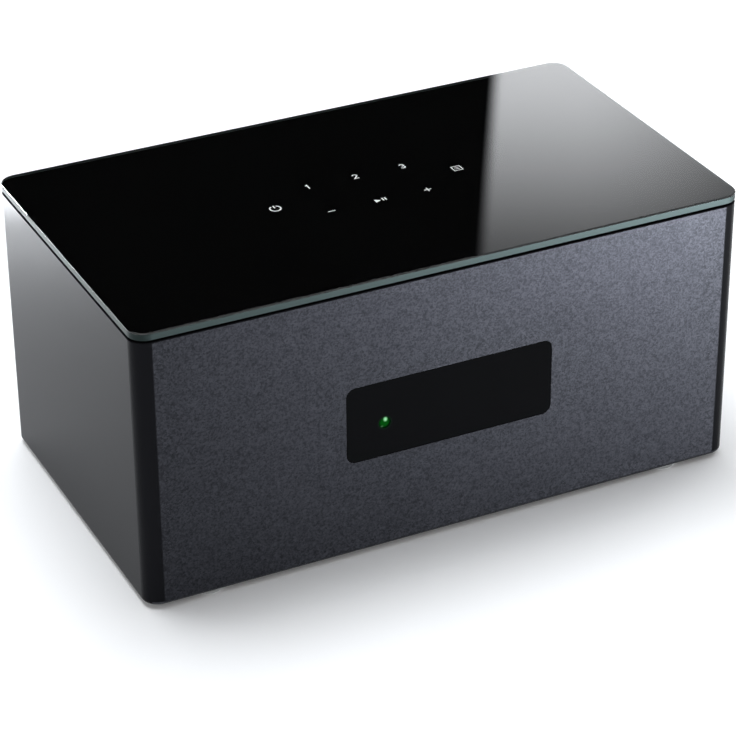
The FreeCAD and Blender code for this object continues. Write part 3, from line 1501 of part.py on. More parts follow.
def make_board_brackets():
    """Shelf under the main board and the standoffs under the other boards."""
    shelf = box(shelf_left, shelf_right, shelf_front, shelf_rear, shelf_bottom, shelf_top)
    foot_top = base_top + SHELF_THICKNESS
    legs = [
        box(shelf_left, shelf_left + SHELF_THICKNESS, shelf_front, shelf_rear, base_top, shelf_top),
        box(shelf_right - SHELF_THICKNESS, shelf_right, shelf_front, shelf_rear, base_top, shelf_top),
        box(shelf_left, shelf_left + SHELF_FOOT, shelf_front, shelf_rear, base_top, foot_top),
        box(shelf_right - SHELF_FOOT, shelf_right, shelf_front, shelf_rear, base_top, foot_top),
    ]
    parts = [shelf.fuse(legs).removeSplitter()]
    for x, y in power_points + amp_points:
        parts.append(standoff_z(x, y, base_top, low_board_bottom))
    for x, y in shelf_points:
        parts.append(standoff_z(x, y, shelf_top, main_bottom))
    for x, z in display_points:
        post = cylinder_y(x, z, inner_front_y, display_front, STANDOFF_RADIUS)
        parts.append(post.cut(cylinder_y(x, z, inner_front_y - PAST, display_front + PAST, TAPPED_RADIUS)))
    return parts


def standoff_z(x, y, z0, z1):
    """Tapped round standoff."""
    post = cylinder_z(x, y, z0, z1, STANDOFF_RADIUS)
    return post.cut(cylinder_z(x, y, z0 - PAST, z1 + PAST, TAPPED_RADIUS))


def touch_ribbon():
    """Flat cable from the touch board straight down to the main board."""
    half = RIBBON_WIDTH / 2
    thick = RIBBON_THICKNESS / 2
    return box(-half, half, ribbon_y - thick, ribbon_y + thick, MAIN_BOARD_Z + RIBBON_FOOT, body_top)


def lead(points):
    """Round wire along straight runs joined by tangent arcs."""
    corners = [V(*point) for point in points]
    edges = []
    start = corners[0]
    for before, corner, after in zip(corners, corners[1:], corners[2:]):
        inward = (corner - before).normalize()
        outward = (after - corner).normalize()
        turn = inward.getAngle(outward)
        trim = LEAD_BEND * math.tan(turn / 2)
        arc_start = corner - inward * trim
        arc_end = corner + outward * trim
        middle = (outward - inward).normalize()
        arc_mid = corner + middle * (LEAD_BEND / math.cos(turn / 2) - LEAD_BEND)
        edges.append(Part.LineSegment(start, arc_start).toShape())
        edges.append(Part.Arc(arc_start, arc_mid, arc_end).toShape())
        start = arc_end
    edges.append(Part.LineSegment(start, corners[-1]).toShape())
    path = Part.Wire(edges)
    first = (corners[1] - corners[0]).normalize()
    section = Part.Wire(Part.Circle(corners[0], first, LEAD_RADIUS).toShape())
    return path.makePipeShell([section], True, False)


def make_internal_leads():
    """Flat cables between the boards, mains leads and supply leads."""
    half = RIBBON_WIDTH / 2
    thick = RIBBON_THICKNESS / 2
    parts = [touch_ribbon()]
    parts.append(
        box(
            DISPLAY_RIBBON_X - half,
            DISPLAY_RIBBON_X + half,
            display_rear,
            main_front + RIBBON_LANDING,
            MAIN_BOARD_Z + RIBBON_SOCKET_HEIGHT,
            MAIN_BOARD_Z + RIBBON_SOCKET_HEIGHT + RIBBON_THICKNESS,
        )
    )
    amp_x = amp_right - 2 * half
    parts.append(
        box(
            amp_x - half,
            amp_x + half,
            amp_ribbon_y - thick,
            amp_ribbon_y + thick,
            low_board_top,
            main_bottom,
        )
    )
    tab_end = inlet_back_y - TAB_LENGTH
    blade_z = INLET_Z - BLADE_OFFSET
    for side in (-1, 1):
        x = inlet_x + side * BLADE_SPREAD
        parts.append(
            lead([(x, tab_end, blade_z), (x, lead_drop_y, blade_z), (x, lead_drop_y, low_board_top)])
        )
    switch_end = switch_back_y - TAB_LENGTH
    low_z = SWITCH_Z - SWITCH_BODY_HEIGHT / 4
    switch_y = lead_drop_y - 4 * LEAD_RADIUS
    switch_corner = (inlet_x, switch_y, low_z)
    parts.append(lead([(inlet_x, switch_end, low_z), switch_corner, (inlet_x, switch_y, low_board_top)]))
    hump_z = low_board_top + 2.5 * LEAD_BEND
    for side in (-1, 1):
        y = amp_front + 2 * BOARD_SPACING + side * 3 * LEAD_RADIUS
        parts.append(
            lead(
                [
                    (power_right - LEAD_BEND, y, low_board_top),
                    (power_right - LEAD_BEND, y, hump_z),
                    (amp_left + LEAD_BEND, y, hump_z),
                    (amp_left + LEAD_BEND, y, low_board_top),
                ]
            )
        )
    return parts


def main():
    """Write every sub-part to its own file."""
    os.makedirs("parts", exist_ok=True)
    save("shell", [make_shell()])
    save("base_plate", [make_base_plate()] + [make_foot_collar(x, y) for x, y in foot_points])
    save("rear_panel", [make_rear_panel()])
    save("top_tray", [make_top_tray()])
    save("glass_gasket", [make_glass_gasket()])
    save("glass_top", [make_glass_top()])
    save("touch_board", [make_touch_board()])
    save("feet", [make_foot(x, y) for x, y in foot_points])
    save("countersunk_screws", make_countersunk_screws())
    save("pan_screws", make_pan_screws())
    save("display_lens", [make_display_lens()])
    save("status_light", [make_status_light()])
    save("display_board", [make_display_board()])
    save("display_module", [make_display_module()])
    save("mains_inlet", [make_mains_inlet()])
    save("mains_contacts", make_inlet_blades() + make_switch_tabs())
    save("rocker_frame", [make_rocker_frame()])
    save("rocker_cap", [make_rocker_cap()])
    save("terminal_plate", [make_terminal_plate()])
    save("post_studs", [make_post_stud(x) for x in post_xs])
    save("post_nuts", [make_post_nut(x) for x in post_xs])
    for index, x in enumerate(post_xs):
        save("clamp_washer_" + str(index + 1), [make_clamp_washer(x)])
        save("post_knob_" + str(index + 1), [make_post_knob(x)])
    save("terminal_board", [make_terminal_board()])
    save("hdmi_sockets", [make_hdmi_socket(x) for x in hdmi_xs])
    save("usb_socket", [make_usb_socket()])
    save("socket_tongues", [make_hdmi_tongue(x) for x in hdmi_xs] + [make_usb_tongue()])
    save("optical_socket", [make_optical_socket()])
    save("optical_shutter", [make_optical_shutter()])
    save("rca_block", [make_rca_block()])
    save("rca_barrels", [make_rca_barrel(x) for x in rca_xs])
    save("pair_button", [make_pair_button()])
    save("power_board", [make_low_board(power_left, power_right, power_front, power_rear, power_points)])
    save("amp_board", [make_low_board(amp_left, amp_right, amp_front, amp_rear, amp_points)])
    save("main_board", [make_main_board()])
    save("board_components", make_board_components())
    save("heatsink", [make_heatsink()])
    save("transformer", make_transformer())
    save("capacitors", make_capacitors())
    save("output_coils", make_output_coils())
    save("board_brackets", make_board_brackets())
    save("internal_leads", make_internal_leads())


main()
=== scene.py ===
import math

import bpy
import numpy as np
from mathutils import Matrix, Vector


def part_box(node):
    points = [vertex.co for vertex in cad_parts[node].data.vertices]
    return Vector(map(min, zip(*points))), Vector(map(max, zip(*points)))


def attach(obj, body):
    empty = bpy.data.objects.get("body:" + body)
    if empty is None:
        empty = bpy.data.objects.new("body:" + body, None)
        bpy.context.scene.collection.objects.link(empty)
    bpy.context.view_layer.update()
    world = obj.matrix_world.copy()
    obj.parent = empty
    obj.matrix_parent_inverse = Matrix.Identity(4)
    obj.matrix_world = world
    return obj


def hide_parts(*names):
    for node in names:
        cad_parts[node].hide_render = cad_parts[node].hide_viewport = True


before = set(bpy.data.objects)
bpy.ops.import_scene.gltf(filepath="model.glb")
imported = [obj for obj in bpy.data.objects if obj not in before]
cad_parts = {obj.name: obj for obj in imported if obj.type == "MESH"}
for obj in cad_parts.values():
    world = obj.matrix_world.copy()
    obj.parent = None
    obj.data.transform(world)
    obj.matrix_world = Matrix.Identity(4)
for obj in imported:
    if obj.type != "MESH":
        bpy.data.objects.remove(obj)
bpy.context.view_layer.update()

MM = 0.001
BODY = "case"

# Places read from the frame, in metres
shell_low, shell_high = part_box("shell")
glass_low, glass_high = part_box("glass_top")
light_low, light_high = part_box("status_light")
light_x = (light_low.x + light_high.x) / 2
light_z = (light_low.z + light_high.z) / 2
light_radius = (light_high.x - light_low.x) / 2
panel_out_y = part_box("rear_panel")[1].y
front_y = shell_low.y
rear_y = shell_high.y
case_mid_y = (front_y + rear_y) / 2
half_width = shell_high.x
glass_bottom = glass_low.z
glass_top_z = glass_high.z

# The photograph's view, from a fit to the straight edges of the case
CAMERA_AZIMUTH = -0.45017
CAMERA_ELEVATION = 0.51823
CAMERA_ROLL = -0.0087
CAMERA_DISTANCE = 1.452626
CAMERA_AIM = Vector((0.032815, 0.068021 + case_mid_y, 0.0))
IMAGE_SIDE = 736
FOCAL_PIXELS = 2855.17
SENSOR = 36.0

# Paint of the case
CORNER_RADIUS = 8.0 * MM
FLAT_DEPTH = 0.05 * MM
FLAT_DEPTH_SOFT = 0.06 * MM
FLAT_SIDE_SOFT = 1.0 * MM
SPECKLE = 0.62 * MM
CLOUD = 1.7 * MM
# Band along the lower front edge that is painted lighter as a highlight
LOWER_EDGE = 2.0 * MM
LOWER_EDGE_SOFT = 0.4 * MM

# Bands round the side of the glass
# The black band at the lower edge of the glass is painted shade for the shadow gap below it
GAP_SHADE_BAND = 0.2 * MM
POLISHED_BAND = 0.8 * MM
BAND_SOFT = 0.06 * MM

# Window light: places to the right of its middle and above it
DOME_RISE = 0.7 * MM
# Bright spot off the light's middle: partly its own glow, partly a painted highlight
CORE_RIGHT = 0.4 * MM
CORE_UP = 1.5 * MM
CORE_RADIUS = 0.75 * MM
CORE_SOFT = 1.3 * MM
# Spot below it: a painted glint
GLINT_RIGHT = -1.25 * MM
GLINT_UP = -1.95 * MM
GLINT_RADIUS = 0.5 * MM
GLINT_SOFT = 0.8 * MM
# Reach of the green glow painted on the window round the light
HALO_REACH = 0.5 * MM
HALO_SOFT = 1.4 * MM

# Print under the glass, about the case's middle
PRINT_THICKNESS = 0.02 * MM
INK_SINK = 0.01 * MM
INK_INSET = 0.45 * MM
INK_BELOW = 0.06 * MM
PRINT_SHIFT = 0.8 * MM
STROKE = 0.7 * MM
THIN_STROKE = 0.42 * MM
DIGIT_HEIGHT = 3.8 * MM
PLAY_SIZE = 3.1 * MM
UPPER_ROW_Y = 13.6 * MM
LOWER_ROW_Y = -13.8 * MM
OUTER_ROW_Y = 0.1 * MM
INNER_X = 24.4 * MM
OUTER_X = 46.3 * MM

# Kind, size, place and line width of each touch symbol that is drawn with lines
TOUCH_SYMBOLS = (
    ("power", 5.1 * MM, -OUTER_X - 0.7 * MM, OUTER_ROW_Y, STROKE),
    (1, DIGIT_HEIGHT, -INNER_X, UPPER_ROW_Y, STROKE),
    (2, DIGIT_HEIGHT, 0.0, UPPER_ROW_Y, STROKE),
    (3, DIGIT_HEIGHT, INNER_X, UPPER_ROW_Y, STROKE),
    ("source", 4.3 * MM, OUTER_X, OUTER_ROW_Y, THIN_STROKE),
    ("minus", 3.7 * MM, -INNER_X - 0.7 * MM, LOWER_ROW_Y, STROKE),
    ("pause", 6.0 * MM, -0.4 * MM, LOWER_ROW_Y + 0.4 * MM, STROKE),
    ("plus", 3.5 * MM, INNER_X - 0.5 * MM, LOWER_ROW_Y, STROKE),
)

# Print on the rear
REAR_PRINT = 0.03 * MM
REAR_SINK = 0.01 * MM
REAR_STROKE = 0.42 * MM
REAR_DIGIT_HEIGHT = 3.0 * MM
REAR_SIGN_SIZE = 2.4 * MM
REAR_SIGN_UP = 9.6 * MM
VIDEO_SOCKET_WIDTH = 15.0 * MM
VIDEO_DIGIT_UP = 4.2 * MM
ROCKER_MARK = 2.6 * MM
ROCKER_TILT = math.radians(12.0)
ROCKER_RIDGE = 3.4 * MM
ROCKER_VALLEY = 1.2 * MM
ROCKER_FACE = 7.24 * MM
ROCKER_PIVOT_Y = 74.5 * MM
ROCKER_PIVOT_Z = 75.0 * MM
JACK_RING_GAP = 0.15 * MM
JACK_RING_REACH = 1.3 * MM
JACK_COLOURS = (
    ("violet", (0.11, 0.03, 0.2)),
    ("orange", (0.62, 0.2, 0.02)),
    ("red", (0.42, 0.012, 0.012)),
    ("white", (0.72, 0.72, 0.7)),
)
ROUND_STEPS = 48

# Floor, in metres: its glow near the object, and where it turns white
FLOOR_HALF = 12.0
NEAR_GLOW = 0.065
FAR_GLOW = 0.95
FAR_START = 0.75
FAR_SOFT = 0.9

# Studio that only gloss shows: its azimuth is counted from the rear towards the right
SCREEN_LEFT = math.radians(30.32)
SCREEN_LEFT_SOFT = math.radians(0.4)
SCREEN_RIGHT = math.radians(33.5)
SCREEN_RIGHT_SOFT = math.radians(6.4)
SCREEN_FOOT = math.radians(25.5)
SCREEN_FOOT_SOFT = math.radians(5.0)
SCREEN_LEAN = 0.07
SCREEN_LEVEL = 0.6
SCREEN_FOOT_LEVEL = 4.1
WALL_LEFT = math.radians(-70.0)
WALL_RIGHT = math.radians(75.0)
WALL_SOFT = math.radians(40.0)
GLOSS_LEVEL = 1.02
AMBIENT = 0.335
LAMP_COLOUR = (0.93, 0.96, 1.0)


class Wire:
    """One output of a node, on which a material's sums are written as plain Python."""

    def __init__(self, finish, socket):
        self.finish = finish
        self.socket = socket

    def __add__(self, other):
        return self.finish.math("ADD", self, other)

    def __radd__(self, other):
        return self.finish.math("ADD", other, self)

    def __sub__(self, other):
        return self.finish.math("SUBTRACT", self, other)

    def __rsub__(self, other):
        return self.finish.math("SUBTRACT", other, self)

    def __mul__(self, other):
        return self.finish.math("MULTIPLY", self, other)

    def __rmul__(self, other):
        return self.finish.math("MULTIPLY", other, self)

    def __abs__(self):
        return self.finish.math("ABSOLUTE", self)

    def above(self, edge, width):
        """0 below the edge, 1 above it, with a soft step of the given width."""
        settings = {"interpolation_type": "SMOOTHSTEP", "clamp": True}
        inputs = {"Value": self, "From Min": edge - width / 2, "From Max": edge + width / 2}
        return self.finish.add("ShaderNodeMapRange", settings, inputs)

    def below(self, edge, width):
        """1 below the edge, 0 above it, with the same soft step."""
        return 1.0 - self.above(edge, width)


class Finish:
    """A material or the world, whose nodes come from one method."""

    def __init__(self, owner):
        self.owner = owner
        owner.use_nodes = True
        self.tree = owner.node_tree

    def add(self, kind, settings, inputs, out=0):
        """A node of one kind: its settings first, then what its sockets get; the wanted output."""
        node = self.tree.nodes.new(kind)
        for name, value in settings.items():
            setattr(node, name, value)
        for key, value in inputs.items() if isinstance(inputs, dict) else enumerate(inputs):
            self.feed(node.inputs[key], value)
        return Wire(self, node.outputs[out])

    def feed(self, socket, value):
        """Link a wire to a socket, or set the socket to a constant."""
        if isinstance(value, Wire):
            self.tree.links.new(value.socket, socket)
        elif socket.type == "RGBA":
            socket.default_value = value + (1.0,)
        else:
            socket.default_value = value

    def math(self, operation, *values):
        return self.add("ShaderNodeMath", {"operation": operation}, values)

    def length(self, across, along):
        """Length of the line whose two parts are given."""
        return self.math("SQRT", across * across + along * along)

    def parts(self, vector):
        """The x, y and z of a vector."""
        outputs = self.add("ShaderNodeSeparateXYZ", {}, [vector]).socket.node.outputs
        return [Wire(self, outputs[axis]) for axis in "XYZ"]

    def place(self):
        """Object coordinates as a vector and as x, y and z."""
        vector = self.add("ShaderNodeTexCoord", {}, {}, "Object")
        return vector, self.parts(vector)

    def ray_kinds(self):
        """1 for rays from the camera, off gloss and through glass, each as a value."""
        outputs = self.add("ShaderNodeLightPath", {}, {}).socket.node.outputs
        kinds = ("Is Camera Ray", "Is Glossy Ray", "Is Transmission Ray")
        return [Wire(self, outputs[kind]) for kind in kinds]

    def noise(self, vector, size, detail=3.0):
        """Soft noise whose blotches are about one size across."""
        inputs = {"Vector": vector, "Scale": 1.0 / size, "Detail": detail, "Roughness": 0.5}
        return self.add("ShaderNodeTexNoise", {}, inputs, "Fac")

    def mix(self, factor, low, high):
        """Colour between two colours."""
        settings = {"data_type": "RGBA", "clamp_factor": True}
        return self.add("ShaderNodeMix", settings, {0: factor, 6: low, 7: high}, 2)

    def bump(self, height, depth, strength=1.0):
        """Normal from a height between 0 and 1 and the real depth of the relief."""
        inputs = {"Height": height, "Distance": depth, "Strength": strength}
        return self.add("ShaderNodeBump", {}, inputs)

    def principled(self, **inputs):
        named = {key.replace("_", " "): value for key, value in inputs.items()}
        return self.add("ShaderNodeBsdfPrincipled", {}, named)

    def finish_with(self, surface):
        """Link the surface to the output, and give back the material or the world."""
        output = next(n for n in self.tree.nodes if n.type in ("OUTPUT_MATERIAL", "OUTPUT_WORLD"))
        self.tree.links.new(surface.socket, output.inputs["Surface"])
        return self.owner


def new_finish(name):
    """Finish on a new material that holds nothing but its output."""
    finish = Finish(bpy.data.materials.new(name))
    for node in list(finish.tree.nodes):
        if node.type != "OUTPUT_MATERIAL":
            finish.tree.nodes.remove(node)
    return finish


def scaled(base, factor):
    """Colour with each part times a factor, and no part over 1."""
    return tuple(min(1.0, part * factor) for part in base)


def moulded(name, base, roughness, grain=0.25, relief=0.006, spread=0.12, metallic=0.0, gloss=0.5):
    """Moulded plastic or plain paint: fine grain in the surface, slow drift in tone and gloss.

    The size of the grain and the depth of its relief are in millimetres."""
    finish = new_finish(name)
    vector, _ = finish.place()
    fine = finish.noise(vector, grain * MM, 2.0)
    slow = finish.noise(vector, 30 * MM, 2.0)
    tone = slow * 0.6 + fine * 0.4
    surface = finish.principled(
        Base_Color=finish.mix(tone, scaled(base, 1.0 - spread), scaled(base, 1.0 + spread)),
        Roughness=roughness + (slow - 0.5) * 0.12,
        Metallic=metallic,
        Specular_IOR_Level=gloss,
        Normal=finish.bump(fine, relief * MM),
    )
    return finish.finish_with(surface)


def plated(name, base, roughness, brush=0.15):
    """Plated or drawn metal: fine brushing, its size in millimetres, and a slow drift in gloss."""
    finish = new_finish(name)
    vector, _ = finish.place()
    stretch = finish.add("ShaderNodeMapping", {}, {"Vector": vector, "Scale": (1.0, 0.15, 1.0)})
    fine = finish.noise(stretch, brush * MM, 3.0)
    slow = finish.noise(vector, 12 * MM, 2.0)
    surface = finish.principled(
        Base_Color=finish.mix(slow, scaled(base, 0.9), base),
        Metallic=1.0,
        Roughness=roughness + (fine - 0.5) * 0.15,
        Normal=finish.bump(fine, 0.002 * MM),
    )
    return finish.finish_with(surface)


def case_paint():
    """Anthracite paint: metallic speckle on the flat of the front, smooth satin elsewhere, and a
    painted highlight: a lighter band along the lower front edge.
    """
    finish = new_finish("case_paint")
    vector, (x, y, z) = finish.place()
    on_front = y.below(front_y + FLAT_DEPTH, FLAT_DEPTH_SOFT)
    flat = on_front * abs(x).below(half_width - CORNER_RADIUS, FLAT_SIDE_SOFT)
    cell_inputs = {"Vector": vector, "Scale": 1.0 / SPECKLE}
    cells = finish.add("ShaderNodeTexVoronoi", {}, cell_inputs, "Color")
    spark = finish.add("ShaderNodeSeparateColor", {}, [cells], "Red")
    cloud = finish.noise(vector, CLOUD, 2.0)
    grain = (spark * 0.6 + cloud * 0.4 - 0.5) * flat
    slow = finish.noise(vector, 60 * MM, 2.0)
    flakes = finish.mix(0.5 + grain, (0.0066, 0.0069, 0.0081), (0.0228, 0.0234, 0.0272))
    # Painted highlight: the satin is lighter along the lower front edge
    highlight_band_low = z.below(shell_low.z + LOWER_EDGE, LOWER_EDGE_SOFT)
    highlight_band_front = y.below(front_y + LOWER_EDGE, LOWER_EDGE_SOFT)
    smooth = finish.mix(highlight_band_low * highlight_band_front, (0.0085, 0.0088, 0.0105), (0.07, 0.073, 0.082))
    surface = finish.principled(
        Base_Color=finish.mix(flat, smooth, flakes),
        Metallic=flat,
        Roughness=0.23 + flat * 0.18 + grain * 0.1 + (slow - 0.5) * 0.03,
        Normal=finish.bump(0.5 + grain, 0.012 * MM, 0.6),
        Specular_IOR_Level=0.038,
        Specular_Tint=(0.9, 0.93, 1.0),
    )
    return finish.finish_with(surface)


def top_glass():
    """Clear plate with a faint green tint: polished top, ground sides, and a black lower edge that is
    painted shade, deepening the shadow gap under the plate.
    """
    finish = new_finish("top_glass")
    vector, (_, _, z) = finish.place()
    side = z.below(glass_top_z - POLISHED_BAND, BAND_SOFT)
    fine = finish.noise(vector, 0.3 * MM, 2.0)
    clear = finish.principled(
        Base_Color=(0.97, 0.99, 0.983),
        Roughness=side * 0.32,
        Transmission_Weight=1.0,
        IOR=1.5,
    )
    ground = finish.principled(
        Base_Color=finish.mix(fine, (0.008, 0.013, 0.0125), (0.011, 0.018, 0.0175)),
        Roughness=0.55,
        Normal=finish.bump(fine, 0.004 * MM),
        Specular_IOR_Level=0.19,
        Specular_Tint=(0.7, 1.0, 0.98),
    )
    # Painted shade: black at the lower edge, where the shadow gap falls
    black = finish.principled(
        Base_Color=(0.002, 0.002, 0.002),
        Roughness=0.9,
        Specular_IOR_Level=0.0,
    )
    plate_look = finish.add("ShaderNodeMixShader", {}, [side * 0.96, clear, ground])
    lower = z.below(glass_bottom + GAP_SHADE_BAND, BAND_SOFT)
    return finish.finish_with(finish.add("ShaderNodeMixShader", {}, [lower, plate_look, black]))


def ink(name, base, roughness=0.9):
    """Screen print: even colour with a trace of cloud."""
    finish = new_finish(name)
    vector, _ = finish.place()
    slow = finish.noise(vector, 8 * MM, 2.0)
    surface = finish.principled(
        Base_Color=finish.mix(slow, scaled(base, 0.95), base),
        Roughness=roughness,
        Specular_IOR_Level=0.0,
    )
    return finish.finish_with(surface)


def light_distance(finish, x, z, right=0.0, up=0.0):
    """Distance on the front from a point beside the middle of the window light."""
    return finish.length(x - (light_x + right), z - (light_z + up))


def black_window():
    """Polished black acrylic with a trace of haze, and a painted faint green glow round the light."""
    finish = new_finish("black_window")
    vector, (x, _, z) = finish.place()
    haze = finish.noise(vector, 18 * MM)
    # Painted glow: the window itself emits faint green round the light, though it is no lamp
    outside_painted_glow = light_distance(finish, x, z).above(light_radius + HALO_REACH, HALO_SOFT)
    surface = finish.principled(
        Base_Color=finish.mix(haze, (0.0011, 0.0014, 0.0023), (0.0016, 0.002, 0.003)),
        Roughness=0.1 + haze * 0.06,
        Specular_IOR_Level=0.045,
        Emission_Color=finish.mix(outside_painted_glow, (0.0008, 0.008, 0.002), (0.0, 0.0, 0.0)),
        Emission_Strength=1.0,
    )
    return finish.finish_with(surface)


def lit_lens():
    """Green light source with a bright spot off its middle, partly its own glow and partly a painted
    highlight, and a faint painted glint below it.
    """
    finish = new_finish("lit_lens")
    _, (x, _, z) = finish.place()
    # Painted highlight: the bright spot sits off the middle, where the dome's highlight falls; the
    # light's own glow is there too
    glow_and_highlight_core = light_distance(finish, x, z, CORE_RIGHT, CORE_UP).below(CORE_RADIUS, CORE_SOFT)
    # Painted glint below the bright spot
    glint = light_distance(finish, x, z, GLINT_RIGHT, GLINT_UP).below(GLINT_RADIUS, GLINT_SOFT)
    rim = light_distance(finish, x, z).above(light_radius * 0.75, light_radius * 0.5)
    glow = finish.mix(rim, (0.0015, 0.066, 0.004), (0.0, 0.012, 0.001))
    with_glint = finish.mix(glint * 0.9, glow, (0.05, 0.13, 0.06))
    surface = finish.principled(
        Base_Color=(0.001, 0.01, 0.002),
        Roughness=0.3,
        Specular_IOR_Level=0.0,
        Emission_Color=finish.mix(glow_and_highlight_core, with_glint, (0.36, 0.9, 0.45)),
        Emission_Strength=1.0,
    )
    return finish.finish_with(surface)


def foot_silicone():
    """Milky silicone that lets light through."""
    finish = new_finish("foot_silicone")
    vector, _ = finish.place()
    fine = finish.noise(vector, 0.5 * MM, 2.0)
    surface = finish.principled(
        Base_Color=finish.mix(fine, (0.78, 0.8, 0.8), (0.86, 0.88, 0.88)),
        Roughness=0.25 + fine * 0.1,
        Transmission_Weight=0.6,
        IOR=1.41,
        Normal=finish.bump(fine, 0.003 * MM),
    )
    return finish.finish_with(surface)


def mesh_piece(name, shape, material, smooth=False, body=BODY):
    """A new piece at the origin from an array of points and a list of faces."""
    points, faces = shape
    mesh = bpy.data.meshes.new(name)
    mesh.from_pydata(points.tolist(), [], faces)
    mesh.validate()
    if smooth:
        mesh.shade_smooth()
    piece = bpy.data.objects.new(name, mesh)
    bpy.context.scene.collection.objects.link(piece)
    mesh.materials.append(material)
    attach(piece, body)
    return piece


def grid_faces(rows, columns, close_rows, close_columns):
    """Quads over a grid of points, row by row, wrapped round where a direction is closed."""
    i = np.arange(rows if close_rows else rows - 1)[:, None]
    j = np.arange(columns if close_columns else columns - 1)[None, :]
    row = i * columns
    next_row = (i + 1) % rows * columns
    next_j = (j + 1) % columns
    corners = (row + j, row + next_j, next_row + next_j, next_row + j)
    return np.stack(np.broadcast_arrays(*corners), -1).reshape(-1, 4).tolist()


def swept_bar(path, width, low, high, closed=False):
    """Flat bar along a path in the plane of its first two coordinates.

    Each path point gives a ring of four points: the point moved half a width to either side along
    the mitred normal, at the low and the high level of the third coordinate."""
    path = np.asarray(path, float)
    step = np.roll(path, -1, 0) - path
    if not closed:
        step[-1] = step[-2]
    step /= np.linalg.norm(step, axis=1)[:, None]
    back = np.roll(step, 1, 0)
    if not closed:
        back[0] = step[0]
    both = step + back
    mitred = np.stack([-both[:, 1], both[:, 0]], 1)
    mitred /= np.linalg.norm(mitred, axis=1)[:, None]
    straight = np.stack([-step[:, 1], step[:, 0]], 1)
    reach = (width / 2 / np.clip((mitred * straight).sum(1), 0.4, 1.0))[:, None]
    left = path + mitred * reach
    right = path - mitred * reach
    corners = ((right, low), (left, low), (left, high), (right, high))
    rings = [np.column_stack([side, np.full(len(path), level)]) for side, level in corners]
    faces = grid_faces(len(path), 4, closed, True)
    if not closed:
        last = 4 * (len(path) - 1)
        faces += [[0, 1, 2, 3], [last + 3, last + 2, last + 1, last]]
    return np.stack(rings, 1).reshape(-1, 3), faces


def arc(centre, radius, start, end, count=20):
    """Points on a circle from one angle to another, in degrees."""
    angle = np.radians(np.linspace(start, end, count))
    return np.stack([centre[0] + radius * np.cos(angle), centre[1] + radius * np.sin(angle)], 1)


def joined(shapes):
    """Points and faces of several shapes as one."""
    points = []
    faces = []
    count = 0
    for shape_points, shape_faces in shapes:
        points.append(shape_points)
        faces += [[index + count for index in face] for face in shape_faces]
        count += len(shape_points)
    return np.concatenate(points), faces


def on_top(shape, x, y):
    """Shape moved from the drawing plane to a point of the top, its levels along Z."""
    points, faces = shape
    return points + np.array([x, y, 0.0]), faces


def on_rear(shape, x, z):
    """Shape turned from the drawing plane to a point of the rear, its levels along Y."""
    points, faces = shape
    return np.stack([x - points[:, 0], points[:, 2], z + points[:, 1]], 1), faces


def digit_paths(digit, height):
    """Strokes of the digits 1 to 5, drawn in a box of the given height about the origin."""
    h = height / 2
    r = height * 0.27
    if digit == 1:
        return [[(-0.38 * h, 0.55 * h), (0.1 * h, h), (0.1 * h, -h)]]
    if digit == 2:
        bowl = arc((0.0, h - r), r, 170, -40, 16)
        return [np.concatenate([bowl, [(-r, -h), (1.1 * r, -h)]])]
    if digit == 3:
        upper = arc((0.0, h - r * 0.95), r * 0.95, 160, -80, 14)
        lower = arc((0.0, -h + r * 1.02), r * 1.02, 80, -160, 14)
        return [np.concatenate([upper, lower])]
    if digit == 4:
        return [[(0.35 * h, -h), (0.35 * h, h), (-0.6 * h, -0.35 * h), (0.65 * h, -0.35 * h)]]
    upper = [(0.5 * h, h), (-0.4 * h, h), (-0.45 * h, 0.1 * h)]
    bowl = arc((-0.02 * h, -h + r * 1.1), r * 1.1, 120, -150, 16)
    return [np.concatenate([upper, bowl])]


def symbol_strokes(kind, size):
    """Strokes of a symbol or digit about the origin, each with whether it closes on itself."""
    s = size / 2
    level = ([(-s, 0), (s, 0)], False)
    upright = ([(0, -s), (0, s)], False)
    if kind == "power":
        return [(arc((0, 0), s, 422, 118, 40), False), ([(0, 0.15 * s), (0, 1.15 * s)], False)]
    if kind == "source":
        lines = [([(-0.5 * s, y * s), (0.5 * s, y * s)], False) for y in (-0.3, 0.3)]
        return [([(-s, -s), (s, -s), (s, s), (-s, s)], True)] + lines
    if kind == "minus":
        return [level]
    if kind == "plus":
        return [level, upright]
    if kind == "pause":
        return [([(x * s, -0.42 * s), (x * s, 0.42 * s)], False) for x in (0.45, 0.9)]
    if kind == "on":
        return [upright]
    if kind == "off":
        return [(arc((0, 0), s, 0, 342), True)]
    return [(path, False) for path in digit_paths(kind, size)]


def drawn(kind, size, width, low, high):
    """A symbol or digit as bars between two levels."""
    paths = symbol_strokes(kind, size)
    return joined([swept_bar(path, width, low, high, closed) for path, closed in paths])


def play_triangle(size, low, high):
    """Solid triangle that points right: three corners at two levels."""
    corners = [(-1.0 * size, -0.5 * size), (-0.05 * size, 0.0), (-1.0 * size, 0.5 * size)]
    points = np.array([(x, y, z) for z in (low, high) for x, y in corners])
    return points, [[2, 1, 0], [3, 4, 5], [0, 1, 4, 3], [1, 2, 5, 4], [2, 0, 3, 5]]


def rounded_outline(half_x, half_y, radius, steps=10):
    """Rectangle about the origin with round corners, anticlockwise."""
    corners = []
    for sign_x, sign_y, start in ((1, -1, -90), (1, 1, 0), (-1, 1, 90), (-1, -1, 180)):
        centre = (sign_x * (half_x - radius), sign_y * (half_y - radius))
        corners.append(arc(centre, radius, start, start + 90, steps))
    return np.concatenate(corners)


def plate(outline, low, high):
    """Flat plate: an outline at two levels, closed by its two faces and its rim."""
    count = len(outline)
    points = np.concatenate([np.column_stack([outline, np.full(count, z)]) for z in (low, high)])
    faces = [list(range(count))[::-1], list(range(count, 2 * count))]
    return points, faces + grid_faces(2, count, False, True)


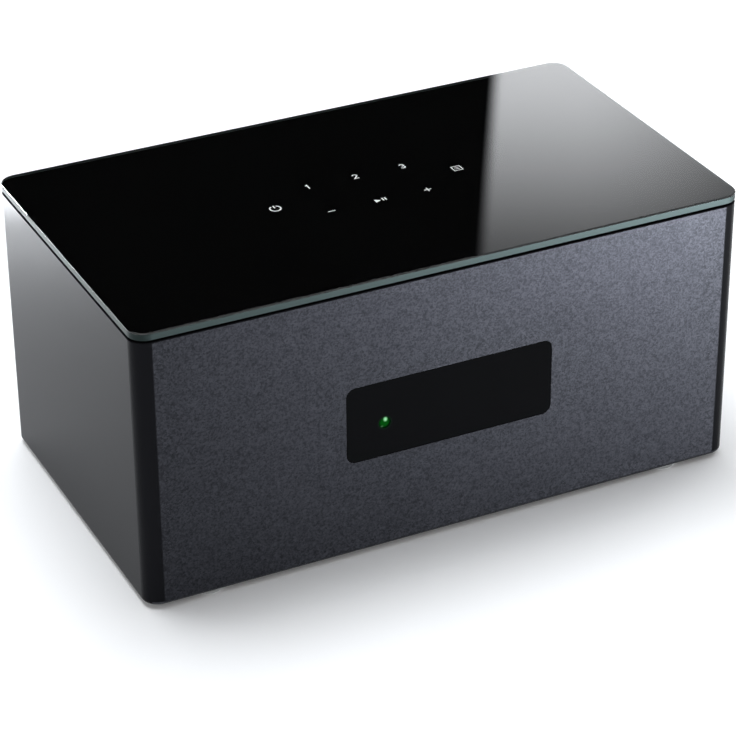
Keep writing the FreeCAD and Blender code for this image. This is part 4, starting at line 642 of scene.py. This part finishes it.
def lathed(profile, x, z):
    """Points of a surface of revolution about an axis along Y.

    Each profile point (r, y) gives a circle of points (x + r cos a, y, z + r sin a)."""
    profile = np.asarray(profile, float)
    angle = np.linspace(0, 2 * np.pi, ROUND_STEPS, endpoint=False)
    radius = profile[:, 0][:, None]
    depth = np.broadcast_to(profile[:, 1][:, None], (len(profile), ROUND_STEPS))
    circles = np.stack([x + radius * np.cos(angle), depth, z + radius * np.sin(angle)], -1)
    return circles.reshape(-1, 3)


def lathed_plug(profile, x, z):
    """Solid of revolution whose first and last circles are closed by flat faces."""
    last = (len(profile) - 1) * ROUND_STEPS
    faces = grid_faces(len(profile), ROUND_STEPS, False, True)
    faces.append(list(range(ROUND_STEPS))[::-1])
    faces.append(list(range(last, last + ROUND_STEPS)))
    return lathed(profile, x, z), faces


def lathed_ring(profile, x, z):
    """Ring of revolution whose profile closes on itself."""
    faces = grid_faces(len(profile), ROUND_STEPS, True, True)
    return lathed(profile, x, z), [face[::-1] for face in faces]


def add_glass_print(black, white):
    """Black print that backs the whole glass, and the white touch symbols in it."""
    half_depth = (rear_y - front_y) / 2
    radius = CORNER_RADIUS - INK_INSET
    outline = rounded_outline(half_width - INK_INSET, half_depth - INK_INSET, radius)
    outline += np.array([0.0, case_mid_y])
    low = glass_bottom + INK_SINK
    high = low + PRINT_THICKNESS
    back = plate(outline, glass_bottom - INK_BELOW, low)
    mesh_piece("glass_back_print", back, black)
    shapes = []
    for kind, size, x, y, width in TOUCH_SYMBOLS:
        shape = drawn(kind, size, width, low, high)
        shapes.append(on_top(shape, x + PRINT_SHIFT, case_mid_y + y))
    triangle = play_triangle(PLAY_SIZE, low, high)
    shapes.append(on_top(triangle, PRINT_SHIFT, case_mid_y + LOWER_ROW_Y))
    mesh_piece("touch_symbols", joined(shapes), white)


def add_rear_print(white):
    """Numbers of the pairs and of the video sockets, and the signs of the terminals."""
    plate_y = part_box("terminal_plate")[1].y
    knobs = [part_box("post_knob_%d" % number) for number in range(1, 11)]
    posts = [(low + high) / 2 for low, high in knobs]
    marks = []
    for index, post in enumerate(posts):
        sign = "plus" if index % 2 else "minus"
        marks.append((sign, REAR_SIGN_SIZE, post.x, post.z + REAR_SIGN_UP, plate_y))
    for index in range(5):
        x = (posts[2 * index].x + posts[2 * index + 1].x) / 2
        marks.append((index + 1, REAR_DIGIT_HEIGHT, x, posts[0].z + REAR_SIGN_UP, plate_y))
    video_low, video_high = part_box("hdmi_sockets")
    pitch = (video_high.x - video_low.x - VIDEO_SOCKET_WIDTH) / 3
    digit_z = video_high.z + VIDEO_DIGIT_UP
    for index in range(4):
        x = video_high.x - VIDEO_SOCKET_WIDTH / 2 - index * pitch
        marks.append((index + 1, REAR_DIGIT_HEIGHT, x, digit_z, panel_out_y))
    shapes = []
    for kind, size, x, z, y in marks:
        shape = drawn(kind, size, REAR_STROKE, y - REAR_SINK, y + REAR_PRINT)
        shapes.append(on_rear(shape, x, z))
    mesh_piece("rear_print", joined(shapes), white)


def add_rocker_marks(white):
    """On and off marks on the two faces of the mains switch.

    A point (u, v, level) of a mark lies at face centre - u * X + v * along + level * out, where
    along and out are the face's own directions, tilted with the rocker."""
    low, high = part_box("rocker_cap")
    middle_x = (low.x + high.x) / 2
    cos_tilt, sin_tilt = math.cos(ROCKER_TILT), math.sin(ROCKER_TILT)
    across = np.array([-1.0, 0.0, 0.0])
    shapes = []
    for kind, sign in (("on", 1), ("off", -1)):
        slope = math.atan2(ROCKER_RIDGE - ROCKER_VALLEY, ROCKER_FACE) * sign
        lean = ROCKER_TILT - slope
        face_y, face_z = (ROCKER_RIDGE + ROCKER_VALLEY) / 2, sign * ROCKER_FACE / 2
        y = ROCKER_PIVOT_Y + face_y * cos_tilt - face_z * sin_tilt
        z = ROCKER_PIVOT_Z + face_y * sin_tilt + face_z * cos_tilt
        along = np.array([0.0, -math.sin(lean), math.cos(lean)])
        out = np.array([0.0, math.cos(lean), math.sin(lean)])
        points, faces = drawn(kind, ROCKER_MARK, REAR_STROKE, -REAR_SINK, REAR_PRINT)
        moved = np.array([middle_x, y, z]) + points @ np.stack([across, along, out])
        shapes.append((moved, faces))
    mesh_piece("rocker_marks", joined(shapes), white, body="mains_rocker")


def add_jack_rings():
    """Coloured ring round each audio jack: an annulus of small height on the jack's collar."""
    low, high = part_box("rca_barrels")
    radius = (high.z - low.z) / 2
    pitch = (high.x - low.x - 2 * radius) / 3
    inner, outer = radius + JACK_RING_GAP, radius + JACK_RING_REACH
    start, end = low.y - REAR_SINK, low.y + REAR_PRINT
    profile = [(inner, start), (outer, start), (outer, end), (inner, end)]
    for index, (name, base) in enumerate(JACK_COLOURS):
        shape = lathed_ring(profile, low.x + radius + index * pitch, (low.z + high.z) / 2)
        mesh_piece("jack_ring_" + name, shape, ink("print_" + name, base, 0.45))


def add_window_light(material):
    """Lens of the window light: a shallow dome on a short rod.

    The dome is the cap of a sphere of radius (r^2 + s^2) / 2s, where r is the rod's radius and s
    the rise of the dome."""
    sphere = (light_radius**2 + DOME_RISE**2) / (2 * DOME_RISE)
    angle = np.linspace(0.02, 1.0, 14) * math.asin(light_radius / sphere)
    dome = np.stack([sphere * np.sin(angle), light_low.y + sphere * (1 - np.cos(angle))], 1)
    profile = np.concatenate([dome, [(light_radius, light_high.y)]])
    shape = lathed_plug(profile, light_x, light_z)
    piece = mesh_piece("window_light", shape, material, smooth=True)
    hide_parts("status_light")


def assign(material, *names):
    """Give carried-over nodes their finish."""
    for name in names:
        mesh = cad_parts[name].data
        mesh.materials.clear()
        mesh.materials.append(material)


def dress_case():
    """Finishes of the case, the glass, the window, the feet and the screws."""
    assign(case_paint(), "shell")
    assign(top_glass(), "glass_top")
    assign(black_window(), "display_lens")
    assign(foot_silicone(), "feet")
    assign(moulded("gasket_foam", (0.004, 0.004, 0.004), 0.9, 0.4, 0.03, gloss=0.0), "glass_gasket")
    steel = moulded("black_steel", (0.022, 0.022, 0.024), 0.5, 0.45, 0.02)
    assign(steel, "base_plate", "rear_panel")
    assign(plated("zinc_screws", (0.6, 0.6, 0.62), 0.3), "countersunk_screws")
    assign(moulded("black_screws", (0.03, 0.03, 0.032), 0.35, metallic=0.7), "pan_screws")


def dress_rear():
    """Finishes of the black plastic, and of what the rear carries."""
    plastic = moulded("black_plastic", (0.018, 0.018, 0.019), 0.42)
    assign(plastic, "top_tray", "mains_inlet", "rocker_frame")
    assign(plastic, "terminal_plate", "optical_socket", "rca_block")
    brass = plated("plated_brass", (0.86, 0.66, 0.3), 0.2)
    assign(brass, "mains_contacts", "post_studs", "post_nuts", "rca_barrels")
    assign(plated("plated_steel", (0.66, 0.66, 0.68), 0.24), "hdmi_sockets", "usb_socket")
    assign(moulded("shutter_plastic", (0.05, 0.05, 0.055), 0.38), "optical_shutter")
    assign(moulded("switch_plastic", (0.012, 0.012, 0.013), 0.22, relief=0.001), "rocker_cap")
    assign(moulded("button_plastic", (0.09, 0.09, 0.095), 0.4), "pair_button")
    assign(moulded("tongue_plastic", (0.02, 0.02, 0.021), 0.45), "socket_tongues")
    knob_black = moulded("knob_black", (0.012, 0.012, 0.013), 0.3, relief=0.002)
    knob_red = moulded("knob_red", (0.42, 0.012, 0.012), 0.3, relief=0.002, spread=0.06)
    for number in range(1, 11):
        assign(brass, "clamp_washer_%d" % number)
        assign(knob_black if number % 2 else knob_red, "post_knob_%d" % number)


def dress_inside():
    """Finishes of the boards and of what they carry."""
    board = moulded("board_mask", (0.012, 0.1, 0.04), 0.3)
    assign(board, "display_board", "terminal_board", "power_board", "amp_board", "main_board")
    assign(moulded("touch_board_mask", (0.01, 0.01, 0.011), 0.4), "touch_board")
    assign(moulded("display_glass", (0.006, 0.006, 0.007), 0.15), "display_module")
    assign(moulded("chip_body", (0.02, 0.02, 0.021), 0.5), "board_components")
    assign(plated("bare_aluminium", (0.78, 0.79, 0.8), 0.35, 0.5), "heatsink")
    assign(moulded("ferrite", (0.045, 0.043, 0.042), 0.55), "transformer")
    assign(moulded("capacitor_sleeve", (0.012, 0.02, 0.07), 0.3), "capacitors")
    assign(moulded("coil_ferrite", (0.06, 0.058, 0.057), 0.5), "output_coils")
    assign(plated("bracket_steel", (0.6, 0.6, 0.62), 0.35, 0.6), "board_brackets")
    assign(moulded("lead_sheath", (0.4, 0.4, 0.4), 0.45), "internal_leads")


def add_floor():
    """White floor that keeps the soft shadow near the object and glows white far from it."""
    half = FLOOR_HALF
    corners = [(-half, -half, 0), (half, -half, 0), (half, half, 0), (-half, half, 0)]
    mesh = bpy.data.meshes.new("floor")
    mesh.from_pydata(corners, [], [(0, 1, 2, 3)])
    floor = bpy.data.objects.new("floor", mesh)
    bpy.context.scene.collection.objects.link(floor)
    finish = new_finish("floor_white")
    vector, (x, y, _) = finish.place()
    cloud = finish.noise(vector, 0.4, 2.0)
    surface = finish.principled(
        Base_Color=finish.mix(cloud, (0.94, 0.94, 0.94), (0.96, 0.96, 0.96)),
        Roughness=0.6,
        Specular_IOR_Level=0.0,
    )
    level = NEAR_GLOW + finish.length(x, y).above(FAR_START, FAR_SOFT) * FAR_GLOW
    glow = finish.add("ShaderNodeEmission", {}, {"Color": (1.0, 1.0, 1.0), "Strength": level})
    none = finish.add("ShaderNodeEmission", {}, {"Color": (0.0, 0.0, 0.0), "Strength": 0.0})
    camera, glossy, through = finish.ray_kinds()
    seen = finish.math("MAXIMUM", finish.math("MAXIMUM", camera, glossy), through)
    lift = finish.add("ShaderNodeMixShader", {}, [seen, none, glow])
    mesh.materials.append(finish.finish_with(finish.add("ShaderNodeAddShader", {}, [surface, lift])))


def set_world():
    """White studio with a dark rear wall and a tall screen at its right, which only gloss shows."""
    world = bpy.data.worlds.new("studio")
    bpy.context.scene.world = world
    finish = Finish(world)
    direction = finish.add("ShaderNodeTexCoord", {}, {}, "Generated")
    x, y, z = finish.parts(direction)
    azimuth = finish.math("ARCTAN2", x, y)
    elevation = finish.math("ARCSINE", z)
    left_edge = (azimuth + elevation * SCREEN_LEAN).above(SCREEN_LEFT, SCREEN_LEFT_SOFT)
    right_edge = azimuth.below(SCREEN_RIGHT, SCREEN_RIGHT_SOFT)
    foot = elevation.below(SCREEN_FOOT, SCREEN_FOOT_SOFT)
    screen = left_edge * right_edge * (SCREEN_LEVEL + foot * SCREEN_FOOT_LEVEL)
    wall = azimuth.above(WALL_LEFT, WALL_SOFT) * azimuth.below(WALL_RIGHT, WALL_SOFT)
    mirrored = (1.0 - wall) + screen
    camera, glossy, through = finish.ray_kinds()
    ambient = (1.0 - camera) * (1.0 - glossy) * (1.0 - through) * AMBIENT
    plain = {"Color": (1.0, 1.0, 1.0), "Strength": camera + through + ambient}
    cool = {"Color": (0.95, 0.97, 1.0), "Strength": glossy * mirrored * GLOSS_LEVEL}
    backgrounds = [finish.add("ShaderNodeBackground", {}, inputs) for inputs in (plain, cool)]
    finish.finish_with(finish.add("ShaderNodeAddShader", {}, backgrounds))


def add_lamp(name, place, aim, size, power):
    """Rectangular soft lamp that faces a point."""
    light = bpy.data.lights.new(name, "AREA")
    light.shape = "RECTANGLE"
    light.size, light.size_y = size
    light.energy = power
    light.color = LAMP_COLOUR
    lamp = bpy.data.objects.new(name, light)
    bpy.context.scene.collection.objects.link(lamp)
    lamp.location = place
    lamp.rotation_euler = (Vector(aim) - Vector(place)).to_track_quat("-Z", "Y").to_euler()
    return lamp


def add_lamps():
    """Soft lamps overhead and at the left rear, a low one that only gloss shows, and a weak fill.

    The low lamp stands at the right front. The fill lights the floor at the right, and gloss does
    not show it."""
    add_lamp("overhead", (-0.15, 0.37, 1.8), (0.0, 0.0, 0.0), (1.2, 0.9), 31.5)
    add_lamp("left_rear", (-0.29, 0.27, 0.035), (-0.15, -0.01, 0.1), (0.3, 0.06), 0.9)
    low = add_lamp("right_front", (0.46, -0.59, 0.065), (0.15, -0.09, 0.1), (0.3, 0.11), 34.5)
    low.visible_diffuse = False
    fill = add_lamp("right_fill", (0.42, -0.02, 0.3), (0.2, -0.02, 0.0), (0.3, 0.3), 0.65)
    fill.visible_glossy = False


def add_camera():
    """Camera at the photograph's angle, distance and focal length."""
    cos_side, sin_side = math.cos(CAMERA_AZIMUTH), math.sin(CAMERA_AZIMUTH)
    cos_up, sin_up = math.cos(CAMERA_ELEVATION), math.sin(CAMERA_ELEVATION)
    cos_roll, sin_roll = math.cos(CAMERA_ROLL), math.sin(CAMERA_ROLL)
    back = Vector((sin_side * cos_up, -cos_side * cos_up, sin_up))
    right = Vector((cos_side, sin_side, 0.0))
    up = back.cross(right)
    rolled_right = right * cos_roll + up * sin_roll
    rolled_up = up * cos_roll - right * sin_roll
    data = bpy.data.cameras.new("camera")
    data.sensor_width = SENSOR
    data.lens = SENSOR * FOCAL_PIXELS / IMAGE_SIDE
    data.clip_end = 50.0
    camera = bpy.data.objects.new("camera", data)
    bpy.context.scene.collection.objects.link(camera)
    turn = Matrix((rolled_right, rolled_up, back)).transposed().to_4x4()
    camera.matrix_world = Matrix.Translation(CAMERA_AIM + back * CAMERA_DISTANCE) @ turn
    bpy.context.scene.camera = camera


def main():
    dress_case()
    dress_rear()
    dress_inside()
    add_glass_print(ink("print_black", (0.002, 0.002, 0.002)), ink("print_white", (0.92, 0.92, 0.91)))
    add_rear_print(ink("rear_white", (0.7, 0.7, 0.69)))
    add_rocker_marks(ink("rocker_white", (0.75, 0.75, 0.74)))
    add_jack_rings()
    add_window_light(lit_lens())
    add_floor()
    set_world()
    add_lamps()
    add_camera()
    bpy.context.scene.view_settings.view_transform = "Standard"


main()
